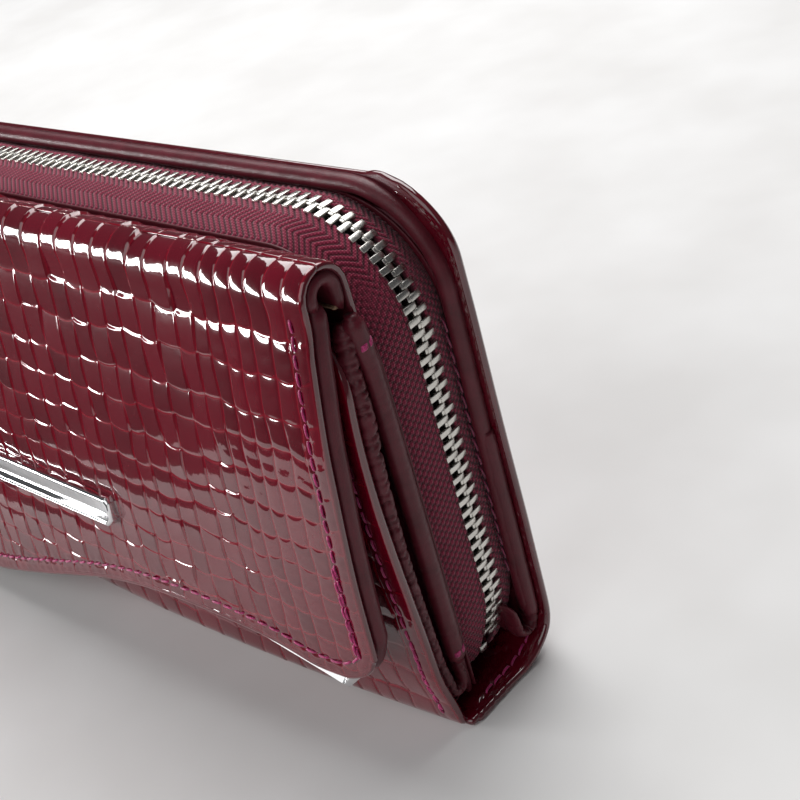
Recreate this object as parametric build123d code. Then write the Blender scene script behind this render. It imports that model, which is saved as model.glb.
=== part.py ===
"""Long zip-around wallet with a front flap, standing on its spine. Millimetres, +Z up.

X runs along the wallet, -Y is the front with the flap, +Y is the back. The origin is at the
middle of the underside. Each function below makes one named piece or one family of pieces.
"""
from build123d import *
import os
from math import cos, pi, radians, sin

os.makedirs("parts", exist_ok=True)

DISC = (Align.CENTER, Align.CENTER, Align.MIN)  # a cylinder that starts at its own origin

# Driving dimensions
HALF_LENGTH = 95.0  # back panel and spine, from the middle to an end
HEIGHT = 99.0  # top edge of the back panel
SKIN = 1.2  # embossed patent leather, skived and glued
BOARD = 0.7  # stiffening board inside the covers
LINING = 1.0  # lining leather of the flap
GLUE = 0.05  # between two glued layers
BOW_REACH = 95.0  # half length over which the front bows outwards

# Zip that runs up one end, over the top and down the other end
ZIP_HALF = 91.6
ZIP_TOP = 98.3
ZIP_CORNER = 22.0
ZIP_BOTTOM = 6.0
ZIP_MID_Y = 10.7
TOOTH_PITCH = 2.5
TOOTH_WIDTH = 1.1
TOOTH_DEPTH = 2.0
TOOTH_REACH = 2.15
TOOTH_GAP = 0.3  # between the two rows
TAPE_THICK = 0.8
TAPE_INSET = 0.6  # tape's outer face below the tops of the teeth

# Layers of the zipped section, from the front
FRONT_WALL = (-1.7, 0.4)
FRONT_FACING = (0.5, 1.1)
BACK_FACING = (17.6, 18.2)
TRAY_FLOOR = 4.0

# Front cover and flap: level (z, y of the outer face at the ends, bow at mid length)
COVER_LEVELS = [(1.5, -6.9, 5.6), (50.0, -8.6, 4.8), (84.0, -4.8, 3.9)]
FLAP_TOP = 91.6
FLAP_LEVELS = [(5.0, -18.7, 6.6), (58.0, -13.9, 2.7), (80.0, -11.4, 1.0), (FLAP_TOP, -11.0, 0.05)]
FLAP_HALF = 89.6
FLAP_CORNER = 8.0
WAVE_MID, WAVE_HEIGHT, WAVE_LENGTH, WAVE_CREST = 14.5, 9.5, 200.0, 42.0

# Fold of the flap over the top
FOLD_Y, FOLD_Z = -5.6, 92.4
FOLD_RADIUS = 5.4
FOLD_LINING_RADIUS = 3.9
FOLD_LINING = 1.6
FOLD_SKIN = 1.3
FLAP_TAIL_FOOT = 82.5

# Back cover and its hinge in the spine
BACK_Y = 24.0
BACK_LEVELS = [(5.0, BACK_Y), (20.0, BACK_Y), (51.0, 22.9), (HEIGHT, 20.5)]
BACK_CORNER = 13.0
HINGE_Y, HINGE_Z = 21.5, 5.0

# Coin pocket in the middle
COIN_HALF = 83.0
COIN_Y = (6.25, 12.45)
COIN_TOP = 84.0
COIN_WALL = 0.8
COIN_TEETH_HALF = 70.0

# Bill pocket between the front cover and the zipped section
COVER_HALF = 92.5
POCKET_HALF = 90.5
POCKET_LINING = 0.5
POCKET_FLOOR = 3.6
POCKET_BACK = (-2.2, -1.72)
POCKET_TOP = 82.0

# Metal pieces on the front
SNAP_Z = 36.0
SNAP_RADIUS = 7.0
SOCKET_THICK, SOCKET_HOLE, SOCKET_HOLE_DEPTH = 1.8, 3.2, 1.4
STUD_DISC, STUD_NOSE, STUD_NOSE_LENGTH = 0.6, 2.6, 0.9
PLATE_Z = 39.5
PLATE_SIZE = (50.0, 2.0, 6.5)
PLATE_CHAMFER = 0.5
PRONG_RADIUS, PRONG_LENGTH, PRONG_X = 0.6, 1.8, 18.0
TRIM_THICK, TRIM_FROM, TRIM_TO = 1.6, 0.3, 2.5

# Card leaves
LEAF = 0.2
LEAF_STEP = 0.22
LEAF_WIDTH = 79.0
LEAF_TOP, LEAF_DROP = 78.0, 11.0

# Slider positions
SLIDER_Z = 30.0
PULL_LENGTH = 22.0
COIN_SLIDER_X = 66.0
COIN_PULL_LENGTH = 13.0
COIN_SCALE = 0.7


def save(shape, name):
    """Write one named piece."""
    shape.label = name
    export_step(shape, f"parts/{name}.step")


def block(x, y, z):
    """Box from three (low, high) pairs."""
    sizes = [high - low for low, high in (x, y, z)]
    middle = [(high + low) / 2 for low, high in (x, y, z)]
    return Pos(*middle) * Box(*sizes)


def upright(face, y0, y1):
    """Extrude an outline drawn in X and Z from y0 to y1."""
    return extrude(Plane.XZ.offset(-y1) * face, y1 - y0)


def tombstone(half, bottom, top, corner):
    """Outline with square lower corners and round upper ones."""
    outline = Pos(0, (bottom + top) / 2) * Rectangle(2 * half, top - bottom)
    return fillet(outline.vertices().group_by(Axis.Y)[-1], corner)


def zip_outline(inset, bottom):
    """Area inside the zip's path, drawn in by inset."""
    return tombstone(ZIP_HALF - inset, bottom, ZIP_TOP - inset, ZIP_CORNER - inset)


def plan_band(level, half, near, far):
    """Plan section of a bowed sheet: its faces lie near and far behind the outer face."""
    z, y, bow = level
    drop = bow * (half / BOW_REACH) ** 2
    front = ThreePointArc(
        (-half, y - bow + drop + near), (0, y - bow + near), (half, y - bow + drop + near)
    )
    back = ThreePointArc(
        (half, y - bow + drop + far), (0, y - bow + far), (-half, y - bow + drop + far)
    )
    edges = [front, Line(front @ 1, back @ 0), back, Line(back @ 1, front @ 0)]
    return Plane.XY.offset(z) * make_face(edges)


def bowed_sheet(levels, half, near, far):
    """Sheet that bows outwards at mid length, more at one level than at another."""
    return loft([plan_band(level, half, near, far) for level in levels], ruled=True)


def wave(x):
    """Height of the flap's lower edge."""
    return WAVE_MID + WAVE_HEIGHT * cos(2 * pi * (x - WAVE_CREST) / WAVE_LENGTH)


def flap_outline(inset, top=FLAP_TOP):
    """Front view of the flap, drawn in by inset: waved lower edge and two round corners."""
    half = FLAP_HALF - inset
    radius = FLAP_CORNER - inset
    steps = 14
    reach = half - radius
    xs = [-reach + 2 * reach * i / steps for i in range(steps + 1)]
    lower = Spline([(x, wave(x) + inset) for x in xs])
    bulge = radius * (1 - sin(pi / 4))
    corners = []
    for side, end in ((1, lower @ 1), (-1, lower @ 0)):
        middle = (side * (half - bulge), end.Y + bulge)
        corners.append(ThreePointArc((end.X, end.Y), middle, (side * half, end.Y + radius)))
    right, left = corners
    edges = [lower, right, left, Line(right @ 1, (half, top)), Line(left @ 1, (-half, top))]
    edges.append(Line((-half, top), (half, top)))
    return make_face(edges)


def flap_layer(near, far, inset):
    """One layer of the flap, between two depths behind its outer face."""
    sheet = bowed_sheet(FLAP_LEVELS, FLAP_HALF, near, far)
    return sheet & upright(flap_outline(inset), -40, 0)


def surface(levels, x, z):
    """Y of an outer face at a point of the front."""
    for (z0, y0, bow0), (z1, y1, bow1) in zip(levels, levels[1:]):
        if z0 <= z <= z1:
            share = (z - z0) / (z1 - z0)
            bow = bow0 + share * (bow1 - bow0)
            return y0 + share * (y1 - y0) - bow * (1 - (x / BOW_REACH) ** 2)
    raise ValueError("level is off the sheet")


# --- spine and front cover -------------------------------------------------------------


def make_spine():
    low = COVER_LEVELS[0]
    for name, half, z0, thick, front, rear in (
        ("spine_panel", HALF_LENGTH - 1, 0.0, 1.4, 0.0, 20.5),
        ("spine_board", HALF_LENGTH - 4, 1.5, 0.8, 2.2, 18.5),
    ):
        z, y, bow = low
        edge = ThreePointArc((-half, y + front), (0, y - bow + front), (half, y + front))
        sides = Polyline((half, y + front), (half, rear), (-half, rear), (-half, y + front))
        save(extrude(Plane.XY.offset(z0) * make_face([edge, sides]), thick), name)


def pocket_floor(y, bow):
    """Flat foot of the bill pocket's lining, from its front leaf to its back leaf."""
    half = POCKET_HALF
    edge = ThreePointArc((-half, y), (0, y - bow), (half, y))
    inside = POCKET_BACK[0] + POCKET_LINING / 2
    sides = Polyline((half, y), (half, inside), (-half, inside), (-half, y))
    return extrude(Plane.XY.offset(POCKET_FLOOR) * make_face([edge, sides]), POCKET_LINING)


def make_front_cover():
    thick = SKIN - GLUE
    save(bowed_sheet(COVER_LEVELS, COVER_HALF, 0, thick), "front_cover_panel")
    (_, low_y, low_bow), *upper = COVER_LEVELS
    levels = [(POCKET_FLOOR, low_y, low_bow), *upper]
    front_leaf = bowed_sheet(levels, POCKET_HALF, thick + GLUE, thick + GLUE + POCKET_LINING)
    back_leaf = block((-POCKET_HALF, POCKET_HALF), POCKET_BACK, (POCKET_FLOOR, POCKET_TOP))
    floor = pocket_floor(low_y + thick + GLUE + POCKET_LINING / 2, low_bow)
    save(front_leaf + back_leaf + floor, "bill_pocket_lining")


def disc(radius, thick, y, z):
    """Round plate that reaches forwards from y."""
    return Pos(0, y, z) * Rot(90, 0, 0) * Cylinder(radius, thick, align=DISC)


def make_snap():
    seat = surface(COVER_LEVELS, 0, COVER_LEVELS[1][0]) - GLUE
    front = seat - SOCKET_THICK
    hole = disc(SOCKET_HOLE, SOCKET_HOLE_DEPTH + 1, front + SOCKET_HOLE_DEPTH, SNAP_Z)
    save(disc(SNAP_RADIUS, SOCKET_THICK, seat, SNAP_Z) - hole, "snap_socket")
    face = front - 0.3
    nose = disc(STUD_NOSE, STUD_NOSE_LENGTH, face + STUD_NOSE_LENGTH, SNAP_Z)
    save(disc(SNAP_RADIUS, STUD_DISC, face, SNAP_Z) + nose, "snap_stud")


# --- zipped section ---------------------------------------------------------------------


def path_place(distance):
    """Frame on the zip's path: local X along the path, local Z outwards."""
    side = ZIP_TOP - ZIP_CORNER - ZIP_BOTTOM
    turn = ZIP_CORNER * pi / 2
    top = 2 * (ZIP_HALF - ZIP_CORNER)
    if distance < side:
        return Pos(-ZIP_HALF, ZIP_MID_Y, ZIP_BOTTOM + distance) * Rot(0, -90, 0)
    distance -= side
    if distance < turn:
        angle = distance / ZIP_CORNER
        x = -ZIP_HALF + ZIP_CORNER * (1 - cos(angle))
        z = ZIP_TOP - ZIP_CORNER * (1 - sin(angle))
        return Pos(x, ZIP_MID_Y, z) * Rot(0, -90 + angle * 180 / pi, 0)
    distance -= turn
    if distance < top:
        return Pos(-ZIP_HALF + ZIP_CORNER + distance, ZIP_MID_Y, ZIP_TOP)
    distance -= top
    if distance < turn:
        angle = distance / ZIP_CORNER
        x = ZIP_HALF - ZIP_CORNER * (1 - sin(angle))
        z = ZIP_TOP - ZIP_CORNER * (1 - cos(angle))
        return Pos(x, ZIP_MID_Y, z) * Rot(0, angle * 180 / pi, 0)
    distance -= turn
    return Pos(ZIP_HALF, ZIP_MID_Y, ZIP_TOP - ZIP_CORNER - distance) * Rot(0, 90, 0)


def path_length():
    side = ZIP_TOP - ZIP_CORNER - ZIP_BOTTOM
    return 2 * side + pi * ZIP_CORNER + 2 * (ZIP_HALF - ZIP_CORNER)


def teeth_row(side, start):
    """One row of teeth; side is -1 at the front and 1 at the back."""
    count = int((path_length() - start - TOOTH_WIDTH) / TOOTH_PITCH)
    middle_y = side * (TOOTH_GAP / 2 + TOOTH_REACH / 2)
    tooth = Pos(0, middle_y, -TOOTH_DEPTH / 2) * Box(TOOTH_WIDTH, TOOTH_REACH, TOOTH_DEPTH)
    return Compound([path_place(start + i * TOOTH_PITCH) * tooth for i in range(count)])


def zip_band(y0, y1):
    """Tape that follows the zip's path."""
    outer = zip_outline(TAPE_INSET, ZIP_BOTTOM)
    inner = zip_outline(TAPE_INSET + TAPE_THICK, ZIP_BOTTOM)
    return upright(outer, y0, y1) - upright(inner, y0 - 1, y1 + 1)


def make_zip():
    edge = TOOTH_GAP / 2 + TOOTH_REACH
    save(zip_band(FRONT_FACING[1], ZIP_MID_Y - edge), "zip_tape_front")
    save(zip_band(ZIP_MID_Y + edge, BACK_FACING[0]), "zip_tape_back")
    save(teeth_row(-1, TOOTH_WIDTH), "zip_teeth_front")
    save(teeth_row(1, TOOTH_WIDTH + TOOTH_PITCH / 2), "zip_teeth_back")
    stop = Pos(-0.8, -edge / 2 - 0.05, -TOOTH_DEPTH / 2) * Box(1.0, edge - 0.3, TOOTH_DEPTH)
    save(Compound([path_place(0) * stop, path_place(path_length() + 1.6) * stop]), "zip_end_stops")


def make_facings():
    save(upright(zip_outline(TAPE_INSET, TRAY_FLOOR), *FRONT_FACING), "zip_front_facing")
    save(upright(zip_outline(TAPE_INSET, TRAY_FLOOR), *BACK_FACING), "zip_back_facing")
    save(block((-90, 90), FRONT_WALL, (3.0, FLAP_TAIL_FOOT - 0.3)), "zip_front_wall")
    for name, y0, y1 in (("gusset_front", 1.12, 8.2), ("gusset_back", 13.2, 17.58)):
        leaf = block((86.3, 87.0), (y0, y1), (TRAY_FLOOR, 60.0))
        save(Compound([leaf, mirror(leaf, Plane.YZ)]), name)


def make_card_slots():
    """Stepped leaves in two columns, each leaf lower than the one behind it."""
    for name, count, start, step in (
        ("card_slots_front", 3, FRONT_FACING[1] + 0.02, 1),
        ("card_slots_back", 4, BACK_FACING[0] - 0.02, -1),
    ):
        leaves = []
        for i in range(count):
            near = start + step * i * LEAF_STEP
            span = sorted((near, near + step * LEAF))
            height = (TRAY_FLOOR + 1, LEAF_TOP - LEAF_DROP * i)
            leaves += [block((x, x + LEAF_WIDTH), span, height) for x in (-82, 3)]
        save(Compound(leaves), name)


def slider_solids(scale, inner_half):
    """Slider's two plates and bail; local X along the zip, local Z outwards."""
    k = scale
    outer = block((-4 * k, 4 * k), (-4.4 * k, 4.4 * k), (1.35 * k, 2.3 * k))
    inner = block((-4 * k, 4 * k), (-inner_half, inner_half), (-2.3 * k, -1.35 * k))
    bail = block((-2.6 * k, 2.6 * k), (-0.9 * k, 0.9 * k), (2.3 * k, 4.35 * k))
    gap = block((-1.6 * k, 1.6 * k), (-k, k), (2.3 * k, 3.6 * k))
    return Compound([outer + (bail - gap), inner])


def pull_solid(scale, length):
    """Pull with two arms and a cross bar that turns inside the bail."""
    k = scale
    thick = (2.55 * k, 3.35 * k)
    bar = Pos(0, 0, 2.95 * k) * Rot(90, 0, 0) * Cylinder(0.4 * k, 3.8 * k)
    arm = block((-8 * k, 0.4 * k), (1.3 * k, 1.9 * k), thick)
    tab = block((-length, -7 * k), (-3.2 * k, 3.2 * k), thick)
    return bar + arm + mirror(arm, Plane.XZ) + tab


def make_sliders():
    seat = (-ZIP_HALF + TOOTH_DEPTH / 2, ZIP_MID_Y, SLIDER_Z)
    main = Plane(seat, x_dir=(0, 0, 1), z_dir=(-1, 0, 0)).location
    save(main * slider_solids(1.0, 4.4), "zip_slider")
    save(main * pull_solid(1.0, PULL_LENGTH), "zip_pull")
    coin = Pos(COIN_SLIDER_X, sum(COIN_Y) / 2, COIN_TOP + 0.4)
    save(coin * slider_solids(COIN_SCALE, 2.0), "coin_zip_slider")
    save(coin * pull_solid(COIN_SCALE, COIN_PULL_LENGTH), "coin_zip_pull")


# --- coin pocket ------------------------------------------------------------------------


def make_coin_pocket():
    shell = block((-COIN_HALF, COIN_HALF), COIN_Y, (TRAY_FLOOR, COIN_TOP))
    inside_y = (COIN_Y[0] + COIN_WALL, COIN_Y[1] - COIN_WALL)
    inside_x = (-COIN_HALF + COIN_WALL, COIN_HALF - COIN_WALL)
    room = block(inside_x, inside_y, (TRAY_FLOOR + COIN_WALL, COIN_TOP + 1))
    save(shell - room, "coin_pocket")
    middle = sum(COIN_Y) / 2
    strip = block((-COIN_HALF, COIN_HALF), (COIN_Y[0], middle - 1.3), (COIN_TOP, COIN_TOP + 0.8))
    tapes = [strip, mirror(strip, Plane.XZ.offset(-middle))]
    save(Compound(tapes), "coin_zip_tape")
    count = int(2 * COIN_TEETH_HALF / TOOTH_PITCH)
    teeth = []
    for i in range(count):
        for side, shift in ((-1, 0), (1, TOOTH_PITCH / 2)):
            x = -COIN_TEETH_HALF + i * TOOTH_PITCH + shift
            y = middle + side * 0.7
            teeth.append(Pos(x, y, COIN_TOP + 0.4) * Box(TOOTH_WIDTH, 1.2, 1.2))
    save(Compound(teeth), "coin_zip_teeth")


# --- flap -------------------------------------------------------------------------------


def fold_ring(outer, thick):
    """Half ring over the fold's centre line."""
    centre = Pos(FOLD_Y, FOLD_Z)
    ring = centre * Circle(outer) - centre * Circle(outer - thick)
    upper = Pos(FOLD_Y, FOLD_Z + outer) * Rectangle(4 * outer, 2 * outer)
    half = ring & upper
    return extrude(Plane.YZ.offset(-FLAP_HALF) * half, 2 * FLAP_HALF)


def make_fold():
    save(fold_ring(FOLD_RADIUS, FOLD_SKIN), "flap_fold_skin")
    save(fold_ring(FOLD_LINING_RADIUS, FOLD_LINING), "flap_fold_lining")
    rear = FOLD_Y + FOLD_RADIUS
    height = (FLAP_TAIL_FOOT, FOLD_Z - 0.3)
    save(block((-FLAP_HALF, FLAP_HALF), (rear - FOLD_SKIN, rear), height), "flap_tail")


def plate_seat():
    """Frame of the nameplate on the sloping flap: local -Y points out of the flap."""
    face = surface(FLAP_LEVELS, 0, PLATE_Z)
    rise = surface(FLAP_LEVELS, 0, PLATE_Z + 10) - surface(FLAP_LEVELS, 0, PLATE_Z - 10)
    return Pos(0, face - GLUE, PLATE_Z) * Rot(-rise / 20 * 180 / pi, 0, 0)


def make_nameplate():
    """Plate with two prongs, and the holes that they need in the skin and the board."""
    plate = Box(*PLATE_SIZE, align=(Align.CENTER, Align.MAX, Align.CENTER))
    plate = chamfer(plate.edges().group_by(Axis.Y)[0], PLATE_CHAMFER)
    prongs = []
    holes = []
    for x in (-PRONG_X, PRONG_X):
        inwards = Pos(x, 0, 0) * Rot(-90, 0, 0)
        prongs.append(inwards * Cylinder(PRONG_RADIUS, PRONG_LENGTH, align=DISC))
        holes.append(plate_seat() * inwards * Cylinder(PRONG_RADIUS + GLUE, 4 * PRONG_LENGTH))
    save(plate_seat() * (plate + prongs), "nameplate")
    return holes


def make_flap():
    holes = make_nameplate()
    board = SKIN + GLUE
    lining = board + BOARD + GLUE
    below_fold = block((-FLAP_HALF, FLAP_HALF), (-40, 0), (0, FLAP_TOP - 2.1))
    save(flap_layer(0, SKIN, 0) - holes, "flap_skin")
    save(flap_layer(board, board + BOARD, 3) - holes, "flap_board")
    save(flap_layer(lining, lining + LINING, 2.8) & below_fold, "flap_lining")
    sheet = bowed_sheet(FLAP_LEVELS, FLAP_HALF, board, board + TRIM_THICK)
    rim = upright(flap_outline(TRIM_FROM), -40, 0) - upright(flap_outline(TRIM_TO), -41, 1)
    edge_only = block((-FLAP_HALF, FLAP_HALF - FLAP_CORNER + 3), (-40, 0), (0, 26))
    save(sheet & rim & edge_only, "flap_edge_trim")


# --- back cover -------------------------------------------------------------------------


def back_profile(near, far, bottom_arc):
    """Side view of a layer of the back cover, between two depths inside its outer face."""
    outer = [(y - near, z) for z, y in BACK_LEVELS]
    inner = [(y - far, z) for z, y in BACK_LEVELS]
    if not bottom_arc:
        return make_face(Polyline(*outer, *reversed(inner), close=True))
    reach = BACK_Y - HINGE_Y
    diagonal = sin(radians(45))
    arcs = []
    for depth in (near, far):
        r = reach - depth
        arcs.append(
            ThreePointArc(
                (HINGE_Y + r, HINGE_Z),
                (HINGE_Y + r * diagonal, HINGE_Z - r * diagonal),
                (HINGE_Y, HINGE_Z - r),
            )
        )
    sides = [Polyline(*outer), Polyline(*inner), Line(outer[-1], inner[-1])]
    return make_face(sides + arcs + [Line(arcs[0] @ 1, arcs[1] @ 1)])


def back_layer(near, far, bottom_arc, outline):
    profile = back_profile(near, far, bottom_arc)
    return extrude(Plane.YZ.offset(-HALF_LENGTH) * profile, 2 * HALF_LENGTH) & upright(outline, 0, 40)


def make_back():
    whole = tombstone(HALF_LENGTH, 0, HEIGHT, BACK_CORNER)
    inner = tombstone(HALF_LENGTH - 2, 8, HEIGHT - 2, BACK_CORNER - 2)
    save(back_layer(0, SKIN, True, whole), "back_panel")
    save(back_layer(SKIN + 0.02, SKIN + BOARD, False, inner), "back_board")
    depth = SKIN + BOARD + 0.02
    filler = Polyline(
        *[(y - depth, z) for z, y in BACK_LEVELS],
        (BACK_FACING[1] + 0.02, HEIGHT),
        (BACK_FACING[1] + 0.02, BACK_LEVELS[0][0]),
        close=True,
    )
    solid = extrude(Plane.YZ.offset(-HALF_LENGTH) * make_face(filler), 2 * HALF_LENGTH)
    rim = tombstone(HALF_LENGTH - 4.4, 8, HEIGHT - 3, BACK_CORNER)
    save(solid & upright(rim, 0, 40), "back_padding")


make_spine()
make_front_cover()
make_snap()
make_zip()
make_facings()
make_card_slots()
make_sliders()
make_coin_pocket()
make_fold()
make_flap()
make_back()
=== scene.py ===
from math import cos, pi, radians, sin

import bmesh
import bpy
import numpy as np
from mathutils import Matrix, Vector
from mathutils.bvhtree import BVHTree


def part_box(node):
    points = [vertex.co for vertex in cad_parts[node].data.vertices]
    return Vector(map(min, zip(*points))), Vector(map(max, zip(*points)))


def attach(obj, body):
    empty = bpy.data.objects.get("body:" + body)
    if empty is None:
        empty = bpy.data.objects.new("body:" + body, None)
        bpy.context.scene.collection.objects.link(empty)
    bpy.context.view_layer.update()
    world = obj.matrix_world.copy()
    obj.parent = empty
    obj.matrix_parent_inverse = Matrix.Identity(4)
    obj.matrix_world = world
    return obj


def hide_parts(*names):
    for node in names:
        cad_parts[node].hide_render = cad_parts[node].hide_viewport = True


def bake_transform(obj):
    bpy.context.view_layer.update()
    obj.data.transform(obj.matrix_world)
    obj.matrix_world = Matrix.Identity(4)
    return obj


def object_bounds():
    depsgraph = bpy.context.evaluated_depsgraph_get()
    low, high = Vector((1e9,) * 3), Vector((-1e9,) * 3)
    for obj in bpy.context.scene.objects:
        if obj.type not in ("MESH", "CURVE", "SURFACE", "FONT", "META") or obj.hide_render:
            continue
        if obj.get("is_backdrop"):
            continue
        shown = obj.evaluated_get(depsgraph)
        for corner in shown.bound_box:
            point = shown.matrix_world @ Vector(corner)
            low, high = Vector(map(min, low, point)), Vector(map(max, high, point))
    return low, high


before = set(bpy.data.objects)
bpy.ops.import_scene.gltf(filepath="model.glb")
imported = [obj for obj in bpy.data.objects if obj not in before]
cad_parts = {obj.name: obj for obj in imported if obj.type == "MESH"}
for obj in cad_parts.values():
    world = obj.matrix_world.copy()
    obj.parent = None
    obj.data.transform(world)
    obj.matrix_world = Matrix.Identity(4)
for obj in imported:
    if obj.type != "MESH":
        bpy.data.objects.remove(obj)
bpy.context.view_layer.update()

MM = 0.001


# --- measuring the CAD frame --------------------------------------------------------------


def box(node):
    """Lowest and highest corner of a CAD node."""
    low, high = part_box(node)
    return np.array(low) / MM, np.array(high) / MM


def tree(node):
    """Search tree of a CAD node's faces, for casting rays at it in metres."""
    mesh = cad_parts[node].data
    return BVHTree.FromPolygons([v.co for v in mesh.vertices], [p.vertices for p in mesh.polygons])


def front_y(bvh, x, z):
    """Y of the foremost point of a node at this x and z."""
    hit = bvh.ray_cast(Vector((x, -100, z)) * MM, Vector((0, 1, 0)))[0]
    return hit.y / MM


def bowed_fit(node, half, zs, degree, joined=(), low=None):
    """Smooth y at the ends and bow at the middle of a bowed CAD sheet, as functions of z.

    joined adds points that the ends pass through; low is an x where the sheet reaches further down.
    """
    bvh = tree(node)
    share = (half / REACH) ** 2
    middle = np.array([front_y(bvh, 0, z) for z in zs])
    side = np.array([front_y(bvh, half, z) for z in zs])
    bow = (side - middle) / share
    ends = middle + bow
    heights = np.array([*zs, *(z for z, _ in joined)])
    bow_fit = np.poly1d(np.polyfit(heights, [*bow, *(0 for _ in joined)], 2))
    if low is not None:
        deep = np.arange(8, zs[0], 3)
        left = 1 - (low / REACH) ** 2
        heights = np.append(heights, deep)
        ends = [*ends, *(y for _, y in joined), *(front_y(bvh, low, z) + bow_fit(z) * left for z in deep)]
    else:
        ends = [*ends, *(y for _, y in joined)]
    weights = np.ones(len(heights))
    weights[len(zs) : len(zs) + len(joined)] = 6
    return np.poly1d(np.polyfit(heights, ends, degree, w=weights)), bow_fit


# Where a bowed sheet has no bow left, and how thick the flap's skin is
REACH = box("back_panel")[1][0]
SKIN = 1.3
FLAP_HALF = box("flap_skin")[1][0]
FOLD_LOW, FOLD_HIGH = box("flap_fold_skin")
FOLD_R = (FOLD_HIGH[1] - FOLD_LOW[1]) / 2
FOLD_Y = (FOLD_HIGH[1] + FOLD_LOW[1]) / 2
FOLD_Z = FOLD_LOW[2]
LINING_R = (box("flap_fold_lining")[1][1] - box("flap_fold_lining")[0][1]) / 2
TAIL_Z = box("flap_tail")[0][2]
TEETH_LOW, TEETH_HIGH = box("zip_teeth_front")
ZIP_HALF, ZIP_TOP = TEETH_HIGH[0], TEETH_HIGH[2]
ZIP_CORNER = 22.0
ZIP_MID = (box("zip_teeth_back")[1][1] + TEETH_LOW[1]) / 2
ZIP_BOTTOM = box("zip_tape_front")[0][2]
TOOTH_PITCH = 2.5
BACK_HALF, BACK_TOP = box("back_panel")[1][0], box("back_panel")[1][2]
BACK_CORNER = 13.0
# How far seams run inside an edge, and the length of one stitch
STITCH_IN = 3.0
STITCH_PITCH = 3.0
# Height of the nameplate's middle
PLATE_Z = 39.5
BOTH_ENDS = (("right", 1), ("left", -1))

FLAP_ENDS, FLAP_BOW = bowed_fit(
    "flap_skin", 85, np.arange(28, 90, 4), 4, [(FOLD_Z, FOLD_Y - FOLD_R)], -58,
)
COVER_ENDS, COVER_BOW = bowed_fit("front_cover_panel", 88, np.arange(3, 83, 5), 3)


def flap_edge_fit():
    """Lower edge of the flap as z over x, felt from below in the middle of the CAD skin."""
    bvh = tree("flap_skin")
    xs = np.linspace(-FLAP_HALF + 0.3, FLAP_HALF - 0.3, 240)
    zs = []
    z = 20.0
    for x in xs:
        for _ in range(4):
            y = float(FLAP_ENDS(z) - FLAP_BOW(z) * (1 - (x / REACH) ** 2)) + SKIN / 2
            hit = bvh.ray_cast(Vector((x, y, -20)) * MM, Vector((0, 0, 1)))[0]
            if hit is not None:
                z = hit.z / MM
        zs.append(z)
    return lambda x: np.interp(x, xs, zs)


CAD_EDGE = flap_edge_fit()


# --- number helpers -----------------------------------------------------------------------


def smooth(t):
    """0 below 0, 1 above 1, smooth between."""
    t = np.clip(t, 0, 1)
    return t * t * (3 - 2 * t)


def bell(distance, width):
    """1 at no distance, falling off to both sides over this width."""
    return np.exp(-((distance / width) ** 2))


def soft_min(a, b, spread):
    """Smaller of two numbers, rounded where they cross."""
    h = np.clip(0.5 + 0.5 * (b - a) / spread, 0, 1)
    return b * (1 - h) + a * h - spread * h * (1 - h)


def wander(seed, amplitude, *wavelengths):
    """Slow irregular function of one or two coordinates, as a sum of sines."""
    r = np.random.default_rng(seed)
    waves = [(2 * pi / w, r.uniform(0, 2 * pi), r.uniform(-1, 1)) for w in wavelengths]

    def value(a, b=0.0):
        total = 0
        for k, phase, tilt in waves:
            total = total + np.sin(k * (a + tilt * b) + phase)
        return amplitude * total / len(waves)

    return value


def unit(v):
    """Vectors made 1 long."""
    return v / np.maximum(np.linalg.norm(v, axis=-1, keepdims=True), 1e-9)


def grid_normals(P):
    """Unit normals of a grid of points."""
    return unit(np.cross(np.gradient(P, axis=1), np.gradient(P, axis=0)))


def normals_towards(P, at, axis, sign=1):
    """Unit normals of a grid, on the side where the one at this grid place has this sign on an axis."""
    N = grid_normals(P)
    return -N if N[at][axis] * sign < 0 else N


def same_normal(direction, P):
    """One direction for every point of a grid."""
    return np.broadcast_to(np.array(direction, float), P.shape)


def merged(*coordinates):
    """Points from their coordinates, which are numbers or arrays that spread to one shape."""
    return np.stack(np.broadcast_arrays(*coordinates), -1)


def run(path):
    """Distance along a path at each of its points, from 0 at the first."""
    return np.concatenate([[0], np.cumsum(np.linalg.norm(np.diff(path, axis=0), axis=1))])


# --- mesh helpers -------------------------------------------------------------------------


def shade(mesh, smooth_faces):
    """Shades every face of a mesh smooth, or every face flat."""
    mesh.polygons.foreach_set("use_smooth", np.full(len(mesh.polygons), smooth_faces))


def mesh_from(name, points, faces, materials, uv=None, attrs=None, index=None, flip_check=True):
    """New object from points in millimetres; uv and attrs hold one value per point."""
    mesh = bpy.data.meshes.new(name)
    points = np.asarray(points, float)
    mesh.from_pydata((points * MM).tolist(), [], [list(map(int, f)) for f in faces])
    for material in materials if isinstance(materials, (list, tuple)) else [materials]:
        mesh.materials.append(material)
    if index is not None:
        mesh.polygons.foreach_set("material_index", np.asarray(index, np.int32))
    loops = np.empty(len(mesh.loops), np.int32)
    mesh.loops.foreach_get("vertex_index", loops)
    if uv is not None:
        layer = mesh.uv_layers.new(name="cut")
        layer.data.foreach_set("uv", np.asarray(uv, np.float32)[loops].ravel())
    for key, values in (attrs or {}).items():
        attribute = mesh.attributes.new(key, "FLOAT", "POINT")
        attribute.data.foreach_set("value", np.asarray(values, np.float32).ravel())
    shade(mesh, True)
    if flip_check:
        bm = bmesh.new()
        bm.from_mesh(mesh)
        bmesh.ops.recalc_face_normals(bm, faces=bm.faces)
        bm.to_mesh(mesh)
        bm.free()
    mesh.update()
    obj = bpy.data.objects.new(name, mesh)
    bpy.context.scene.collection.objects.link(obj)
    return obj


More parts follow.
